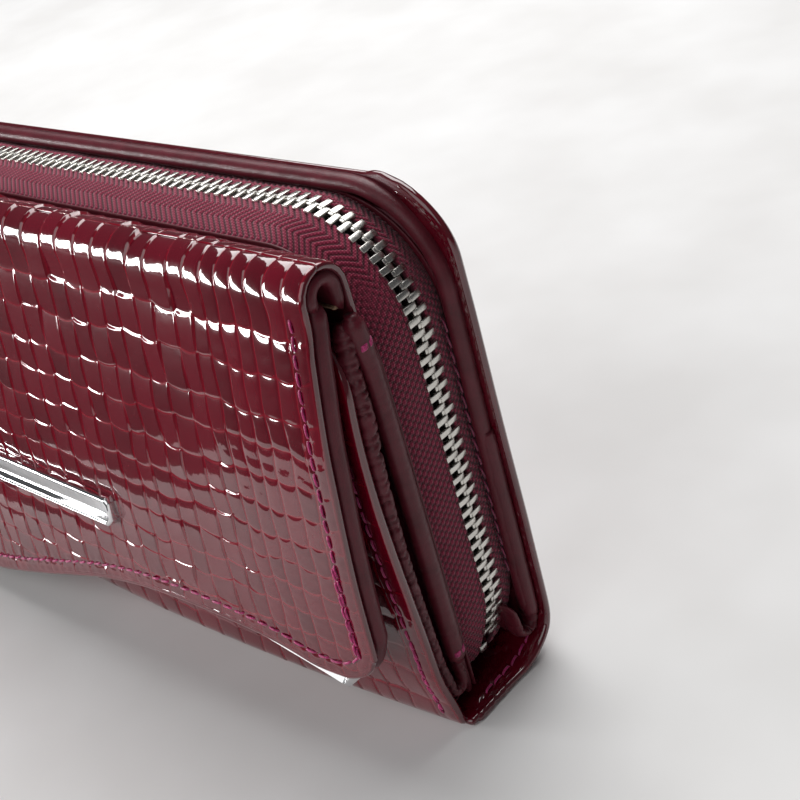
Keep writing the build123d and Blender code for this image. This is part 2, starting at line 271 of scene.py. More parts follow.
def slab(name, P, thick, materials, N=None, uv=None, attrs=None, step=4, bulge=(1, 1, 1, 1), hollow=0.0):
    """Sheet with a fine outer side P, a coarse inner side and a rounded rim.

    bulge gives how round the rim is at the first row, last column, last row and first column.
    materials are for the outer side and rim, and for the inner side. The inner side keeps one grid line
    out of each step of them, and hollow makes the sheet thinner there by this much.
    """
    rows, cols = P.shape[:2]
    N = grid_normals(P) if N is None else N
    loop = [(0, j) for j in range(cols)]
    loop += [(i, cols - 1) for i in range(1, rows)]
    loop += [(rows - 1, j) for j in range(cols - 2, -1, -1)]
    loop += [(i, 0) for i in range(rows - 2, 0, -1)]
    sides = [bulge[0]] * cols + [bulge[1]] * (rows - 1) + [bulge[2]] * (cols - 1) + [bulge[3]] * (rows - 2)
    at = np.array(loop)
    edge, normal = P[at[:, 0], at[:, 1]], N[at[:, 0], at[:, 1]]
    out = unit(np.cross(np.roll(edge, -1, 0) - np.roll(edge, 1, 0), normal))
    middle = cols // 2
    if np.dot(out[middle], edge[middle] - P[1, middle]) < 0:
        out = -out
    points = [P.reshape(-1, 3)]
    extra = [np.asarray(uv).reshape(-1, 2)] if uv is not None else None
    fields = {k: [np.asarray(v).ravel()] for k, v in (attrs or {}).items()}
    steps = 4
    ids = [at[:, 0] * cols + at[:, 1]]
    count = rows * cols
    side = np.array(sides)[:, None]
    for k in range(1, steps + 1):
        angle = pi * k / steps
        ring = edge - normal * thick / 2 * (1 - cos(angle)) + out * side * thick / 2 * sin(angle)
        points.append(ring)
        ids.append(np.arange(len(loop)) + count)
        count += len(loop)
        if extra:
            extra.append(np.asarray(uv)[at[:, 0], at[:, 1]])
        for key in fields:
            fields[key].append(np.asarray(attrs[key])[at[:, 0], at[:, 1]] * 0)
    ring_of = {pair: int(ids[-1][n]) for n, pair in enumerate(loop)}
    I = sorted({*range(0, rows, step), rows - 1})
    J = sorted({*range(0, cols, step), cols - 1})
    inner = {}
    inside = [(i, j) for i in I[1:-1] for j in J[1:-1]]
    if inside:
        deep = np.array(inside)
        points.append((P - N * (thick - hollow))[deep[:, 0], deep[:, 1]])
        if extra:
            extra.append(np.asarray(uv)[deep[:, 0], deep[:, 1]])
        for key in fields:
            fields[key].append(np.zeros(len(inside)))
        inner = {pair: count + n for n, pair in enumerate(inside)}

    def low(i, j):
        return ring_of.get((i, j), inner.get((i, j)))

    a = np.arange(rows * cols).reshape(rows, cols)
    faces = np.stack([a[:-1, :-1], a[:-1, 1:], a[1:, 1:], a[1:, :-1]], -1).reshape(-1, 4).tolist()
    index = [0] * len(faces)
    for k in range(steps):
        now, nxt = ids[k], ids[k + 1]
        for n in range(len(loop)):
            m = (n + 1) % len(loop)
            faces.append([now[n], nxt[n], nxt[m], now[m]])
            index.append(0 if k < steps - 1 else 1)
    for i0, i1 in zip(I, I[1:]):
        for j0, j1 in zip(J, J[1:]):
            path = [(i0, j) for j in (range(j0, j1) if i0 == 0 else (j0,))]
            path += [(i, j1) for i in (range(i0, i1) if j1 == cols - 1 else (i0,))]
            path += [(i1, j) for j in (range(j1, j0, -1) if i1 == rows - 1 else (j1,))]
            path += [(i, j0) for i in (range(i1, i0, -1) if j0 == 0 else (i1,))]
            faces.append([low(i, j) for i, j in path])
            index.append(1)
    return mesh_from(
        name,
        np.concatenate(points),
        faces,
        materials,
        uv=np.concatenate(extra) if extra else None,
        attrs={k: np.concatenate(v) for k, v in fields.items()},
        index=index,
    )


def sweep(name, path, sections, material):
    """Closed skin over sections (steps, corners, 3) that already stand along a path."""
    S = np.asarray(sections, float)
    steps, corners = S.shape[:2]
    a = np.arange(steps * corners).reshape(steps, corners)
    faces = []
    for i in range(steps - 1):
        for j in range(corners):
            k = (j + 1) % corners
            faces.append([a[i, j], a[i, k], a[i + 1, k], a[i + 1, j]])
    faces += [a[0].tolist(), a[-1, ::-1].tolist()]
    uv = merged(run(path)[:, None], run(S[steps // 2])[None, :]).reshape(-1, 2)
    return mesh_from(name, S.reshape(-1, 3), faces, material, uv=uv)


def cross_frame(path, up):
    """Two directions across a path at each of its points; up is roughly the second of them."""
    T = unit(np.gradient(path, axis=0))
    B = unit(np.cross(T, np.broadcast_to(np.asarray(up, float), path.shape)))
    return B, np.cross(B, T)


def tube(name, path, radius_b, radius_u, up, material, sides, ends, wobble=None):
    """Rolled edge along a path: a radius across, one along up, and the share of them left at its ends."""
    path = np.asarray(path, float)
    B, U = cross_frame(path, up)
    length = run(path)
    from_end = np.minimum(length, length[-1] - length)
    reach = max(np.max(radius_b), np.max(radius_u))
    size = np.sqrt(np.clip(1 - (1 - np.clip(from_end / reach, 0, 1)) ** 2, ends**2, 1))
    angle = np.arange(sides) * 2 * pi / sides
    rb = (radius_b * size)[:, None]
    ru = (radius_u * size)[:, None]
    if wobble is not None:
        scale = 1 + wobble(length[:, None], angle[None, :])
        rb, ru = rb * scale, ru * scale
    S = (
        path[:, None]
        + (rb * np.cos(angle))[..., None] * B[:, None]
        + (ru * np.sin(angle))[..., None] * U[:, None]
    )
    return sweep(name, path, S, material)


def resample(path, spacing):
    """Points at about this spacing along a path, all equally far apart."""
    path = np.asarray(path, float)
    length = run(path)
    count = max(2, int(round(length[-1] / spacing)) + 1)
    at = np.linspace(0, length[-1], count)
    return np.stack([np.interp(at, length, path[:, i]) for i in range(3)], 1)


def joined(name, parts, material):
    """One object from several (points, faces) pairs."""
    points, faces, start = [], [], 0
    for p, f in parts:
        points.append(p)
        faces += [[i + start for i in face] for face in f]
        start += len(p)
    return mesh_from(name, np.concatenate(points), faces, material)


def stitch_parts(path, normal, pitch=STITCH_PITCH, width=0.27, lift=0.12, seed=3):
    """Stitches along a path: short rounded threads whose ends dive into the leather."""
    slant, share_of_pitch, dive = 0.16, 0.94, 0.55
    r = np.random.default_rng(seed)
    line = resample(path, pitch)
    source = np.asarray(path, float)
    normal = np.broadcast_to(np.asarray(normal, float), source.shape)
    parts = []
    sides = 7
    for a, b in zip(line, line[1:]):
        nearest = np.argmin(np.linalg.norm(source - (a + b) / 2, axis=1))
        up = unit(np.asarray(normal[nearest], float))
        along = unit(b - a)
        across = np.cross(up, along)
        length = np.linalg.norm(b - a) * share_of_pitch
        turn = slant * (1 + r.uniform(-0.4, 0.4))
        middle = (a + b) / 2 + across * r.uniform(-0.05, 0.05)
        t = np.array([-0.5, -0.46, -0.36, -0.2, 0, 0.2, 0.36, 0.46, 0.5])
        rise = lift - (np.abs(t) * 2) ** 5 * dive
        spine = (
            middle
            + np.outer(t * length, along)
            + np.outer(t * 2 * turn, across)
            + np.outer(rise, up)
        )
        fat = width * np.array([0.45, 0.75, 0.95, 1, 1, 1, 0.95, 0.75, 0.45])
        angle = np.arange(sides) * 2 * pi / sides
        ring = (
            spine[:, None]
            + (fat[:, None] * np.cos(angle))[..., None] * across
            + (fat[:, None] * np.sin(angle) * 0.85)[..., None] * up
        ).reshape(-1, 3)
        faces = []
        for i in range(len(t) - 1):
            for j in range(sides):
                k = (j + 1) % sides
                faces.append([i * sides + j, i * sides + k, (i + 1) * sides + k, (i + 1) * sides + j])
        faces.append(list(range(sides)))
        faces.append([(len(t) - 1) * sides + j for j in range(sides)][::-1])
        parts.append((ring, faces))
    return parts


def mirrored(parts):
    """The same parts at the other end of the wallet."""
    return [(p * np.array([-1, 1, 1]), f) for p, f in parts]


# --- materials ----------------------------------------------------------------------------


class Look:
    """Small builder for one node material."""

    def __init__(self, name, **settings):
        self.mat = bpy.data.materials.new(name)
        self.mat.use_nodes = True
        self.nodes, self.links = self.mat.node_tree.nodes, self.mat.node_tree.links
        self.nodes.clear()
        self.out = self.nodes.new("ShaderNodeOutputMaterial")
        self.bsdf = self.add("ShaderNodeBsdfPrincipled")
        self.links.new(self.bsdf.outputs[0], self.out.inputs[0])
        for key, value in settings.items():
            self.bsdf.inputs[key.replace("_", " ")].default_value = value

    def add(self, kind, props=None, **inputs):
        """New node with these properties and inputs."""
        node = self.nodes.new(kind)
        for key, value in (props or {}).items():
            setattr(node, key, value)
        for key, value in inputs.items():
            self.plug(value, node.inputs[key.replace("_", " ")])
        return node

    def plug(self, value, socket):
        """Links another node's output to a socket, or sets its value."""
        if isinstance(value, bpy.types.NodeSocket):
            self.links.new(value, socket)
        else:
            socket.default_value = value

    def place(self, uv=False, stretch=(1, 1, 1), turn=0.0):
        """Coordinates in millimetres, of the flat cut or of the piece at rest."""
        source = self.add("ShaderNodeUVMap", {"uv_map": "cut"}) if uv else self.add("ShaderNodeTexCoord")
        out = source.outputs["UV" if uv else "Object"]
        unit_scale = 1 if uv else 1 / MM
        node = self.add("ShaderNodeMapping", Vector=out, Rotation=(0, 0, turn))
        node.inputs["Scale"].default_value = [s * unit_scale for s in stretch]
        return node.outputs[0]

    def noise(self, size, detail=3.0, rough=0.5, **place):
        """Grey noise whose features are about this many millimetres."""
        node = self.add("ShaderNodeTexNoise", Vector=self.place(**place), Scale=1 / size, Detail=detail)
        node.inputs["Roughness"].default_value = rough
        return node.outputs[0]

    def cells(self, size):
        """Distance to the edge of cells of about this size in millimetres."""
        props = {"feature": "DISTANCE_TO_EDGE"}
        node = self.add("ShaderNodeTexVoronoi", props, Vector=self.place(), Scale=1 / size)
        return node.outputs[0]

    def ribs(self, pitch, turn=0.0, uv=True):
        """Parallel ribs of about this pitch in millimetres, in the flat cut or at rest."""
        one_rib = 0.314
        props = {"wave_profile": "SIN"}
        node = self.add("ShaderNodeTexWave", props, Vector=self.place(uv, turn=turn), Scale=one_rib / pitch)
        return node.outputs[1]

    def value(self, key):
        """A field that the mesh holds for each point."""
        return self.add("ShaderNodeAttribute", {"attribute_name": key}).outputs["Fac"]

    def ramp(self, fac, *stops):
        """Greys or colours at (place, value) stops."""
        node = self.add("ShaderNodeValToRGB", Fac=fac)
        elements = node.color_ramp.elements
        while len(elements) < len(stops):
            elements.new(0.5)
        for element, (at, colour) in zip(elements, stops):
            element.position = at
            grey = not hasattr(colour, "__len__")
            element.color = (colour, colour, colour, 1) if grey else (*colour, 1)
        return node.outputs[0]

    def mix(self, fac, a, b):
        """Colour a where fac is 0 and colour b where it is 1."""
        node = self.add("ShaderNodeMix", {"data_type": "RGBA"})
        for socket, value in ((node.inputs[0], fac), (node.inputs[6], a), (node.inputs[7], b)):
            if not isinstance(value, bpy.types.NodeSocket) and hasattr(value, "__len__"):
                value = (*value, 1)
            self.plug(value, socket)
        return node.outputs[2]

    def maths(self, kind, a, b=0.0):
        node = self.add("ShaderNodeMath", {"operation": kind})
        self.plug(a, node.inputs[0])
        self.plug(b, node.inputs[1])
        return node.outputs[0]

    def bump(self, height, depth, strength=1.0, normal=None):
        """Bump as high as this many millimetres, over another bump if one is given."""
        node = self.add("ShaderNodeBump", Height=height, Distance=depth * MM, Strength=strength)
        if normal is not None:
            self.links.new(normal, node.inputs["Normal"])
        return node.outputs[0]

    def done(self, colour=None, rough=None, normal=None, coat_normal=None):
        """Plugs what is given into the shader and returns the material."""
        for key, value in (
            ("Base Color", colour),
            ("Roughness", rough),
            ("Normal", normal),
            ("Coat Normal", coat_normal),
        ):
            if value is not None:
                self.links.new(value, self.bsdf.inputs[key])
        return self.mat


def patent_look():
    """Clear coat over deep red, with a tone for each scale and painted light in the valleys between them: a
    lighter red for light caught in the grooves.
    """
    look = Look(
        "patent_leather", IOR=1.4, Specular_IOR_Level=0.06,
        Coat_Weight=1.0, Coat_Roughness=0.03, Coat_IOR=1.82,
    )
    deep, mid, high = (0.078, 0.0005, 0.0062), (0.113, 0.0008, 0.0090), (0.138, 0.0010, 0.0110)
    # Painted light: a lighter red for the grooves, standing in for light caught in them.
    painted_groove_light = (0.235, 0.0012, 0.0135)
    body = look.mix(look.ramp(look.noise(9.0), (0.3, 0.0), (0.75, 1.0)), deep, mid)
    body = look.mix(look.value("tone"), body, high)
    colour = look.mix(look.value("valley"), body, painted_groove_light)
    rough = look.ramp(look.noise(1.2), (0.3, 0.16), (0.8, 0.30))
    peel = look.bump(look.noise(2.2, 2.0), 0.035, 0.6)
    coat = look.bump(look.noise(1.1, 3.0), 0.012, 0.5, peel)
    both = look.bump(look.noise(0.45, 2.0), 0.012, 0.6, peel)
    return look.done(colour, rough, both, coat)


def lining_look():
    """Smooth soft leather with a fine grain."""
    look = Look("lining_leather", IOR=1.45, Specular_IOR_Level=0.38, Sheen_Weight=0.02, Sheen_Roughness=0.4)
    light, shade, pore = (0.135, 0.013, 0.025), (0.072, 0.006, 0.012), (0.05, 0.010, 0.014)
    tone = look.ramp(look.noise(4.0, 5.0, 0.62), (0.25, 0.0), (0.75, 1.0))
    colour = look.mix(tone, shade, light)
    grain = look.cells(0.42)
    colour = look.mix(look.ramp(grain, (0.0, 0.55), (0.12, 0.0)), colour, pore)
    normal = look.bump(look.noise(3.5, 4.0), 0.12, 0.5)
    normal = look.bump(look.ramp(grain, (0.0, 0.0), (0.25, 1.0)), 0.025, 0.7, normal)
    rough = look.ramp(look.noise(0.8), (0.2, 0.28), (0.8, 0.46))
    return look.done(colour, rough, normal)


def tape_look():
    """Woven tape, with shade painted dark between the ribs that the mesh has."""
    look = Look("zip_tape", Roughness=0.82, IOR=1.4, Sheen_Weight=0.35, Sheen_Roughness=0.45)
    yarn = 0.42
    weave = look.maths("MULTIPLY", look.ribs(yarn, 0.0), look.ribs(yarn, pi / 2))
    fibre = look.noise(0.16, 3.0, 0.6, uv=True)
    light, shade, gap = (0.46, 0.028, 0.092), (0.150, 0.007, 0.027), (0.045, 0.002, 0.010)
    tone = look.maths("ADD", look.maths("MULTIPLY", weave, 0.45), look.maths("MULTIPLY", fibre, 0.5))
    colour = look.mix(look.ramp(tone, (0.18, 0.0), (0.62, 1.0)), shade, light)
    # Painted shade: the gap colour darkens the tape where its ribs sink.
    colour = look.mix(look.ramp(look.value("rib"), (0.1, 0.95), (0.75, 0.0)), colour, gap)
    normal = look.bump(weave, 0.11, 0.8)
    normal = look.bump(fibre, 0.07, 0.8, normal)
    return look.done(colour, None, normal)


def cloth_look():
    """Plain weave of the coin pocket's bag, a little uneven in colour."""
    look = Look("pocket_cloth", Roughness=0.85, Sheen_Weight=0.3)
    yarn = 0.55
    light, shade, dull = (0.13, 0.022, 0.042), (0.05, 0.008, 0.016), (0.04, 0.006, 0.012)
    weave = look.maths("MAXIMUM", look.ribs(yarn, 0.0, False), look.ribs(yarn, pi / 2, False))
    colour = look.mix(look.ramp(weave, (0.3, 0.0), (0.95, 1.0)), shade, light)
    colour = look.mix(look.ramp(look.noise(12.0), (0.3, 0.0), (0.8, 0.35)), colour, dull)
    return look.done(colour, None, look.bump(weave, 0.12, 0.7))


def metal_look(name, tint, rough, wear):
    """Metal with fine scratches; wear is how much of the darker shade shows at most."""
    look = Look(name, Metallic=1.0)
    worn = look.noise(1.6, 5.0, 0.65)
    colour = look.mix(look.ramp(worn, (0.35, 0.0), (0.8, wear)), tint, [c * 0.62 for c in tint])
    shine = look.ramp(look.noise(0.7, 4.0), (0.25, rough * 0.7), (0.8, rough * 1.5))
    scratch = look.noise(0.5, 2.0, 0.5, stretch=(0.15, 1.0, 1.0))
    return look.done(colour, shine, look.bump(scratch, 0.006, 0.5))


def thread_look(name, shade, light):
    """Twisted thread between two shades."""
    look = Look(name, Roughness=0.42, Sheen_Weight=0.4, Sheen_Roughness=0.35)
    twist = look.noise(0.35, 2.0, 0.5, stretch=(1.0, 1.0, 0.45), turn=0.5)
    colour = look.mix(look.ramp(twist, (0.3, 0.0), (0.7, 1.0)), shade, light)
    return look.done(colour, None, look.bump(twist, 0.12, 0.9))


def raw_look():
    """Tan fibres of a cut edge."""
    look = Look("raw_edge", Roughness=0.95)
    fibre = look.noise(0.28, 5.0, 0.7)
    dyed, mid, tan = (0.12, 0.04, 0.035), (0.34, 0.20, 0.12), (0.55, 0.42, 0.28)
    colour = look.ramp(fibre, (0.25, dyed), (0.5, mid), (0.8, tan))
    return look.done(colour, None, look.bump(fibre, 0.3, 0.9))


def padding_look():
    """Soft foam."""
    look = Look("padding", Roughness=0.9)
    grain = look.noise(1.5, 4.0, 0.6)
    colour = look.ramp(grain, (0.25, (0.10, 0.025, 0.035)), (0.75, (0.17, 0.05, 0.065)))
    return look.done(colour, None, look.bump(grain, 0.15, 0.6))


PATENT = patent_look()
LINING = lining_look()
TAPE = tape_look()
CLOTH = cloth_look()
NICKEL = metal_look("zip_metal", (0.66, 0.64, 0.60), 0.26, 0.7)
BRIGHT = metal_look("bright_metal", (0.86, 0.86, 0.87), 0.08, 0.35)
GREY_FACE = metal_look("bright_metal_brushed", (0.62, 0.62, 0.63), 0.32, 0.4)
THREAD = thread_look("thread", (0.22, 0.006, 0.062), (0.56, 0.024, 0.185))
# The same thread made darker: painted shade for stitches that sit in the dark gap beside the back's rolled
# edge.
PAINTED_SHADE_THREAD = thread_look("thread_painted_shade", (0.09, 0.004, 0.025), (0.24, 0.012, 0.07))
RAW = raw_look()
PADDING = padding_look()


# --- embossed scales ----------------------------------------------------------------------

# Where grid lines stand within one scale: across and down it on the flap, and coarser ones elsewhere
ACROSS = np.array([0, 0.035, 0.09, 0.18, 0.30, 0.43, 0.57, 0.70, 0.82, 0.91, 0.965])
DOWN = np.array([0, 0.03, 0.08, 0.17, 0.29, 0.43, 0.57, 0.71, 0.83, 0.92, 0.97])
COARSE = np.array([0, 0.04, 0.12, 0.26, 0.42, 0.6, 0.78, 0.9, 0.96])


def breaks(start, end, low, high, seed):
    """Uneven steps from start to end, each between low and high."""
    r = np.random.default_rng(seed)
    count = int(round((end - start) / ((low + high) / 2)))
    steps = r.uniform(low, high, max(count, 1))
    return start + np.concatenate([[0], np.cumsum(steps)]) * (end - start) / steps.sum()


class Scales:
    """Rows and columns of embossed scales, and a grid whose lines follow them.

    Beyond x = small_from every scale is split in two smaller ones.
    """

    def __init__(self, columns, rows, seed, small_from=None, across=ACROSS, down=DOWN):
        self.c, self.r = np.asarray(columns, float), np.asarray(rows, float)
        self.rand = np.random.default_rng(seed)
        self.small_from = small_from
        self.k, self.u = self.lines(len(self.c), across)
        self.j, self.w = self.lines(len(self.r), down)
        self.sway = [wander(seed + k, 0.30, 21.0, 12.0) for k in range(len(self.c))]
        self.dip = [wander(seed + 500 + j, 0.75, 61.0, 27.0, 13.0) for j in range(len(self.r))]
        self.fixed_x = (0, len(self.c) - 1)
        self.fixed_s = (0, len(self.r) - 1)

    @staticmethod
    def lines(count, shares):
        """Scale that each grid line lies in, and how far along it."""
        k = np.repeat(np.arange(count - 1), len(shares))
        u = np.tile(shares, count - 1)
        return np.append(k, count - 2), np.append(u, 1.0)

    def spread(self):
        """x and s of every grid point, before the piece's outline is taken into account."""
        s0 = self.r[self.j] + self.w * (self.r[self.j + 1] - self.r[self.j])
        still = np.zeros_like(s0)
        sway = [still if k in self.fixed_x else self.sway[k](s0) for k in range(len(self.c))]
        left = self.c[:, None] + np.array(sway)
        x = left[self.k].T * (1 - self.u) + left[self.k + 1].T * self.u
        scallop = 0.42 * (1 - (2 * self.u - 1) ** 2)
        drift = self.rand.uniform(-0.28, 0.28, (len(self.r), len(self.c) - 1))
        rows = []
        for j, base in enumerate(self.r):
            if j in self.fixed_s:
                rows.append(np.full(len(self.u), base))
            else:
                jump = drift[j][self.k] * (1 - np.abs(2 * self.u - 1) ** 6)
                rows.append(base + self.dip[j](self.c[self.k] + self.u * 4) + scallop + jump)
        rows = np.array(rows)
        s = rows[self.j] * (1 - self.w)[:, None] + rows[self.j + 1] * self.w[:, None]
        return x, s

    def relief(self, x, tilt=0.23, dome=0.085, groove=0.07):
        """Height of the embossing, how deep in a groove each point is, and a tone for each scale."""
        wide = np.diff(self.c)[self.k][None, :]
        tall = np.diff(self.r)[self.j][:, None]
        u, w = self.u[None, :], self.w[:, None]
        shape = (len(self.r) - 1, len(self.c) - 1)
        lean = self.rand.uniform(0.55, 1.35, shape)[self.j][:, self.k]
        roll = self.rand.uniform(-0.05, 0.05, shape)[self.j][:, self.k]
        tone = self.rand.uniform(0, 1, shape)[self.j][:, self.k]
        small = np.zeros_like(x) if self.small_from is None else smooth((x - self.small_from) / 10)
        near_c = np.minimum(u, 1 - u) * wide
        near_r = np.minimum(w, 1 - w) * tall
        half = np.abs(w - 0.5) * tall
        w_half = np.abs(((w * 2) % 1.0) - 0.5) * 2
        crown = 1 - np.abs(2 * w - 1) ** 2.2
        crown_small = 1 - w_half**2.2
        big = tilt * lean * u**1.7 * (0.55 + 0.45 * crown) + dome * crown + roll * (w - 0.5) * tall
        little = 0.15 * (1 - np.abs(2 * u - 1) ** 2.2) * crown_small + 0.04 * lean
        height = big * (1 - small) + little * small
        cut_c, cut_r = bell(near_c, 0.20), bell(near_r, 0.20)
        cut_m = bell(half, 0.20) * small
        cut = np.maximum(np.maximum(cut_c, 0.2 * cut_r), 0.5 * cut_m)
        height = height - groove * cut
        wide_cut = np.maximum(np.maximum(bell(near_c, 0.16), bell(near_r, 0.22)), bell(half, 0.2) * small)
        return height, wide_cut * 0.9, tone


def seam_relief(height, side, along, furrow, swell):
    """Embossing flattened beside an edge, with a furrow under the stitches and a swelling outside it.

    side is the distance from the edge; furrow and swell are a depth and how much the stitches pull at it.
    """
    pucker = np.cos(2 * pi * along / STITCH_PITCH)
    height = height * (0.3 + 0.7 * smooth((side - 2.4) / 1.2))
    height = height - bell(side - STITCH_IN, 0.55) * (furrow[0] + furrow[1] * pucker)
    return height + bell(side - 1.4, 1.0) * (swell[0] + swell[1] * pucker)


# --- flap ---------------------------------------------------------------------------------

# Distance down the flap's section: up the tail, over the fold, then down the front
TAIL = FOLD_Z - TAIL_Z
OVER = pi * FOLD_R
CREST = TAIL + OVER / 2
FRONT = TAIL + OVER

# Slow unevenness of the flap's front
flap_sag = wander(71, 0.20, 83.0, 47.0)


def plate_dent(x, z):
    """The leather is drawn in round the nameplate."""
    along = np.maximum(np.abs(x) - 22, 0) / 7
    return 0.45 * np.exp(-(along**2) - ((z - PLATE_Z) / 6.5) ** 2)


def flap_belly(x, z):
    """How far the flap's ends swell forwards between the fold and the lower edge."""
    t = np.clip((FOLD_Z - z) / 28, 0, 1)
    rise = np.sin(pi / 2 * t) * smooth(t / 0.3)
    low = 1 - 0.4 * smooth((48 - z) / 34)
    return 2.9 * rise * low * (0.25 + 0.75 * (x / REACH) ** 2)


def lift_corner(x):
    """The leather's right and left corners are turned up a little above the trim."""
    return 3.1 * smooth((np.abs(x) - 72) / 14) + 0.8 * bell(x - 68, 13)


def flap_edge(x):
    """Height of the leather's lower edge."""
    return CAD_EDGE(x) + lift_corner(x)


def flap_face(x, s, inset=0.0):
    """Point of the flap's outer face, moved inwards by inset."""
    x, s = np.broadcast_arrays(np.asarray(x, float), np.asarray(s, float))
    z_front = FOLD_Z - (s - FRONT)
    bow = np.maximum(FLAP_BOW(z_front), 0) * (1 - (x / REACH) ** 2)
    sag = flap_sag(x, z_front) * smooth((FOLD_Z - z_front) / 22)
    y_front = FLAP_ENDS(z_front) - bow + sag + inset - flap_belly(x, z_front) + plate_dent(x, z_front)
    angle = np.clip((s - TAIL) / OVER, 0, 1) * pi
    r = FOLD_R - inset
    y = np.where(s < TAIL, FOLD_Y + r, np.where(s > FRONT, y_front, FOLD_Y + r * np.cos(angle)))
    z = np.where(s < TAIL, TAIL_Z + s, np.where(s > FRONT, z_front, FOLD_Z + r * np.sin(angle)))
    return merged(x, y, z)


def flap_columns():
    """Scale columns across the flap, narrower ones near both sides."""
    left = breaks(-FLAP_HALF, -64, 3.4, 4.4, 4)
    mid = breaks(-64, 62, 4.4, 6.2, 5)
    right = breaks(62, FLAP_HALF, 3.2, 4.3, 6)
    return np.concatenate([left[:-1], mid[:-1], right])


def flap_skin_piece(name, rows, seed, outline):
    """Embossed skin over these rows; outline is True for the part that ends in the waved edge."""
    far = 99.0
    grid = Scales(flap_columns(), rows, seed, small_from=60)
    x, s = grid.spread()
    height, valley, tone = grid.relief(x)
    if outline:
        s_low = FRONT + FOLD_Z - flap_edge(x)
        left_over = np.arange(s.shape[0])[::-1][:, None] * 0.03
        s = soft_min(s, s_low - left_over, 0.6)
        s = np.maximum.accumulate(s + np.arange(s.shape[0])[:, None] * 1e-4, axis=0)
        s[-1] = s_low[-1]
    base = flap_face(x, s)
    middle = x.shape[1] // 2
    if outline:
        N = normals_towards(base, (x.shape[0] // 2, middle), 1, -1)
    else:
        N = normals_towards(base, (2, middle), 1)
    side = np.minimum(FLAP_HALF - x, FLAP_HALF + x)
    z = base[..., 2]
    slope = np.gradient(flap_edge(x[0]), x[0])[None, :]
    low = (z - flap_edge(x)) / np.sqrt(1 + slope**2) if outline else np.full_like(x, far)
    low = np.where(s < FRONT - 3, far, low)
    below_top = smooth((s - (FRONT + 2.0)) / 2)
    d_side = np.where(s > FRONT - 2, side, far)
    d = soft_min(d_side, low, 0.4) if outline else np.full_like(x, far)
    arc = np.where(d_side < low, s, x)
    band = smooth((STITCH_IN + 0.5 - d) / 0.7)
    height = height * (1 - 0.72 * band)
    valley = valley * (1 - 0.5 * band)
    pucker = np.cos(2 * pi * arc / STITCH_PITCH)
    furrow = bell(d - STITCH_IN, 0.55) * below_top
    height = height - furrow * (0.24 + 0.06 * pucker)
    height = height + bell(d - STITCH_IN + 1.5, 1.1) * (0.14 + 0.05 * pucker) * below_top
    height = height - 0.05 * bell(d - STITCH_IN - 1.3, 0.9) * pucker * below_top
    height = height * smooth(np.minimum(side, low) / 0.9 + 0.12)
    P = base + N * (height[..., None] - 0.12)
    uv = merged(x, s)
    attrs = {"valley": valley, "tone": tone}
    bulge = (0, 1, 1, 1) if outline else (1, 1, 0, 1)
    return slab(name, P, SKIN, (PATENT, LINING), N=N, uv=uv, attrs=attrs, bulge=bulge)


def row_breaks(start, end, seed):
    """Scale rows down the flap: tall ones over the fold, lower ones further down."""
    r = np.random.default_rng(seed)
    rows = [start, start + 13.6]
    while rows[-1] < end - 9:
        share = (rows[-1] - start) / (end - start)
        rows.append(rows[-1] + (8.0 - 2.6 * min(1, 2.2 * share)) * r.uniform(0.88, 1.12))
    rows[-1] = min(rows[-1], end - 5)
    return np.array([*rows, end])


FLAP_END_S = FRONT + FOLD_Z - float(CAD_EDGE(np.linspace(-FLAP_HALF, FLAP_HALF, 300)).min())
flap_skin = flap_skin_piece("flap_skin_leather", row_breaks(CREST, FLAP_END_S, 8), 21, True)
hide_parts("flap_skin")
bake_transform(flap_skin)

tail_skin = flap_skin_piece("flap_tail_leather", np.array([0, 5.5, CREST]), 33, False)
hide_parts("flap_tail", "flap_fold_skin")
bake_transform(tail_skin)


def ribbon(name, path, x0, x1, thick, material):
    """Leaf of leather whose edge runs along a path in Y and Z: it reaches from x0 to a round edge at x1."""
    points = np.column_stack([np.zeros(len(path)), path])
    side = np.cross(unit(np.gradient(points, axis=0)), (1.0, 0, 0))
    sign = 1 if x1 > x0 else -1
    half = thick / 2
    corners = [(x1 - sign * half * (1 - cos(a)), sin(a)) for a in np.linspace(pi / 2, -pi / 2, 7)]
    corners = [(x0, 1.0), *corners, (x0, -1.0)]
    sections = []
    for p, n in zip(points, side):
        sections.append([p + n * half * up + np.array([x, 0, 0]) for x, up in corners])
    return sweep(name, points, sections, material)


def arc_path(y, z, radius, start, end, count=18):
    """Points on a circle in Y and Z, from one angle to another, in degrees."""
    angle = np.radians(np.linspace(start, end, count))
    return merged(y + radius * np.cos(angle), z + radius * np.sin(angle))


